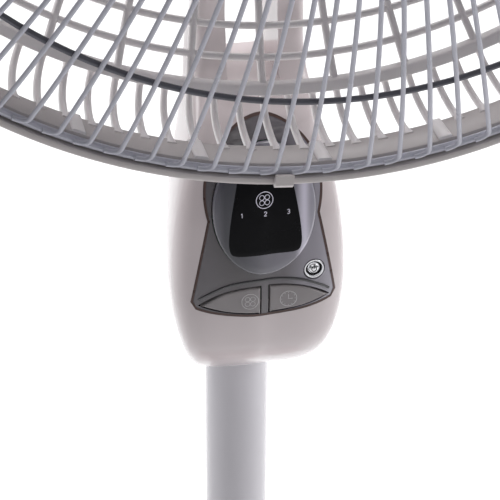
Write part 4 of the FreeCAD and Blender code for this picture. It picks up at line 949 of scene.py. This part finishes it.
class FAN_OT_buttons(bpy.types.Operator):
    """Make the speed, timer and power buttons with their plain signs"""

    bl_idname = "fan.buttons"
    bl_label = "Buttons"

    def execute(self, context):
        sizes = context.scene.fan_controls
        for side, name in ((-1, "speed"), (1, "timer")):
            face = front_face(name + "_button")
            outline = [Vector((HUB_X + side * x, HUB_Z - drop)) for x, drop in self.leaf()]
            centre = (HUB_X + side * 0.0125, HUB_Z - 0.3208)
            outline = drawn_in(outline, centre, sizes.button_inset)
            cap = capped(outline, centre, face, 0.0002, sizes.button_roll, 0.0024)
            body = name + "_button"
            new_piece(name + "_cap", cap, "button", body, [name + "_button"], 60.0)
        self.signs(sizes)
        self.power(sizes)
        self.ridge()
        return {"FINISHED"}

    def leaf(self):
        """One button's outline for the right side, in distance from the middle and drop."""
        inner = 0.0019
        high, low = 0.3144, 0.3269
        tip = (0.0278, 0.3216)
        top = run_through([(inner, high), (0.009, 0.3147), (0.0185, 0.3167), tip])
        foot = run_through([tip, (0.017, 0.3251), (0.009, 0.3264), (inner, low)])
        side = [Vector((inner, low + (high - low) * index / 5)) for index in range(1, 5)]
        return [(point.x, point.y) for point in top + foot[1:] + side]

    def signs(self, sizes):
        """The air sign on the speed button and the clock on the timer button."""
        above = 0.0003
        for name, place, drop in (("speed", -0.0066, 0.3205), ("timer", 0.0102, 0.3212)):
            bm = bmesh.new()
            face = front_face(name + "_button")
            centre = (HUB_X + place, HUB_Z - drop)
            if name == "speed":
                air_mark(bm, centre, sizes.icon_size, sizes.icon_line, face, above)
            else:
                self.clock(bm, centre, sizes, face, above)
            face_outwards(bm)
            new_piece(name + "_sign", bm, "icon", name + "_button")

    def clock(self, bm, centre, sizes, face, lift):
        """A plain clock: a circle, twelve ticks and two hands."""
        middle = Vector(centre)
        line = sizes.icon_line
        stroke(bm, circle_points(centre, sizes.icon_size, 40), line, face, lift, True)
        for index in range(12):
            angle = index * math.tau / 12
            out = Vector((math.cos(angle), math.sin(angle))) * sizes.icon_size
            stroke(bm, [middle + out * 0.78, middle + out * 0.88], line, face, lift)
        up = Vector((0.0, sizes.icon_size * 0.6))
        along = Vector((sizes.icon_size * 0.5, 0.0))
        stroke(bm, [middle + up, middle, middle + along], line * 1.2, face, lift)

    def power(self, sizes):
        """The round power button in its bright ring, with a ring-and-bar sign and painted shade in the
        gaps round both.
        """
        x = HUB_X + sizes.power_x
        z = HUB_Z - sizes.power_drop
        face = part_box("power_button_ring")[0].y
        ring = [(0.0034, 0.0006), (0.0037, 0.0), (0.0042, 0.0), (0.0046, 0.0007), (0.0046, 0.003),
                (0.0034, 0.003)]
        dome = [(0.0, -0.0002), (0.0011, -0.0001), (0.002, 0.0003), (0.0026, 0.0009), (0.0029, 0.0016),
                (0.0029, 0.003), (0.0, 0.003)]

        def turned(profile):
            corners = [Vector((x, face + back, z - radius)) for radius, back in profile]
            return lathe(corners, Vector((x, face, z)), (0, 1, 0), 48)

        def gap(inner, outer):
            return turned([(inner, 0.0012), (outer, 0.0012), (outer, 0.003), (inner, 0.003)])

        new_piece("power_ring", turned(ring), "chrome", "riser", ["power_button_ring"], 50.0)
        button = "power_button"
        new_piece("power_dome", turned(dome), "chrome", button, [button], 50.0)
        # Painted shade: black rings set deep in the gaps round the power ring and round its dome, where
        # there is only shade.
        gaps = merged([gap(0.00462, 0.0051), gap(0.00292, 0.00338)])
        new_piece("power_recess", gaps, "mask", "riser")
        sign = bmesh.new()
        arc = circle_points((x, z), 0.0011, 20, math.radians(125), math.radians(290))

        def crown(px, pz):
            return face + 0.0001 * math.hypot(px - x, pz - z) / 0.001

        bar = [Vector((x, z + 0.0003)), Vector((x, z + 0.0015))]
        for points in (arc, bar):
            stroke(sign, points, 0.00028, crown, 0.00035, sunk=0.0003)
        face_outwards(sign)
        new_piece("power_sign", sign, "mask", "power_button")

    def ridge(self):
        """The dark raised line that arches over both buttons."""
        face = front_face("control_panel")
        bm = bmesh.new()
        half = [(0.0, 0.3112), (0.008, 0.3115), (0.017, 0.3131), (0.0252, 0.3168), (0.0284, 0.319)]
        right = run_through([(HUB_X + x, HUB_Z - drop) for x, drop in half], 8)
        width = 0.0011
        height = 0.0005
        stroke(bm, mirrored(right[1:]) + right, width, face, height)
        face_outwards(bm)
        edges = [edge for edge in bm.edges if edge.calc_face_angle(0.0) > 0.8]
        bmesh.ops.bevel(bm, geom=edges, offset=0.00018, segments=2, profile=0.5, affect="EDGES",
                        material=-1, clamp_overlap=True)
        new_piece("button_ridge", bm, "ridge", "riser")


PIECES = (
    FAN_OT_stage,
    FAN_OT_finishes,
    FAN_OT_front_guard,
    FAN_OT_rear_guard,
    FAN_OT_display,
    FAN_OT_buttons,
)


class FAN_PT_pieces(bpy.types.Panel):
    """Lists the steps that build the fan's looks"""

    bl_idname = "FAN_PT_pieces"
    bl_label = "Pedestal fan"
    bl_space_type = "VIEW_3D"
    bl_region_type = "UI"
    bl_category = "Fan"

    def draw(self, context):
        for step in PIECES:
            self.layout.operator(step.bl_idname)
        scene = context.scene
        for group in (scene.fan_guard, scene.fan_controls, scene.fan_colours, scene.fan_lights):
            box = self.layout.box()
            for name in group.bl_rna.properties.keys():
                if name not in {"rna_type", "name"}:
                    box.prop(group, name)


CLASSES = (FanGuardSizes, FanControlSizes, FanColours, FanLights) + PIECES + (FAN_PT_pieces,)


def register():
    for item in CLASSES:
        bpy.utils.register_class(item)
    bpy.types.Scene.fan_guard = PointerProperty(type=FanGuardSizes)
    bpy.types.Scene.fan_controls = PointerProperty(type=FanControlSizes)
    bpy.types.Scene.fan_colours = PointerProperty(type=FanColours)
    bpy.types.Scene.fan_lights = PointerProperty(type=FanLights)


def unregister():
    del bpy.types.Scene.fan_guard
    del bpy.types.Scene.fan_controls
    del bpy.types.Scene.fan_colours
    del bpy.types.Scene.fan_lights
    for item in reversed(CLASSES):
        bpy.utils.unregister_class(item)


def main():
    register()
    for step in PIECES:
        group, name = step.bl_idname.split(".")
        getattr(getattr(bpy.ops, group), name)()


if __name__ == "__main__":
    main()
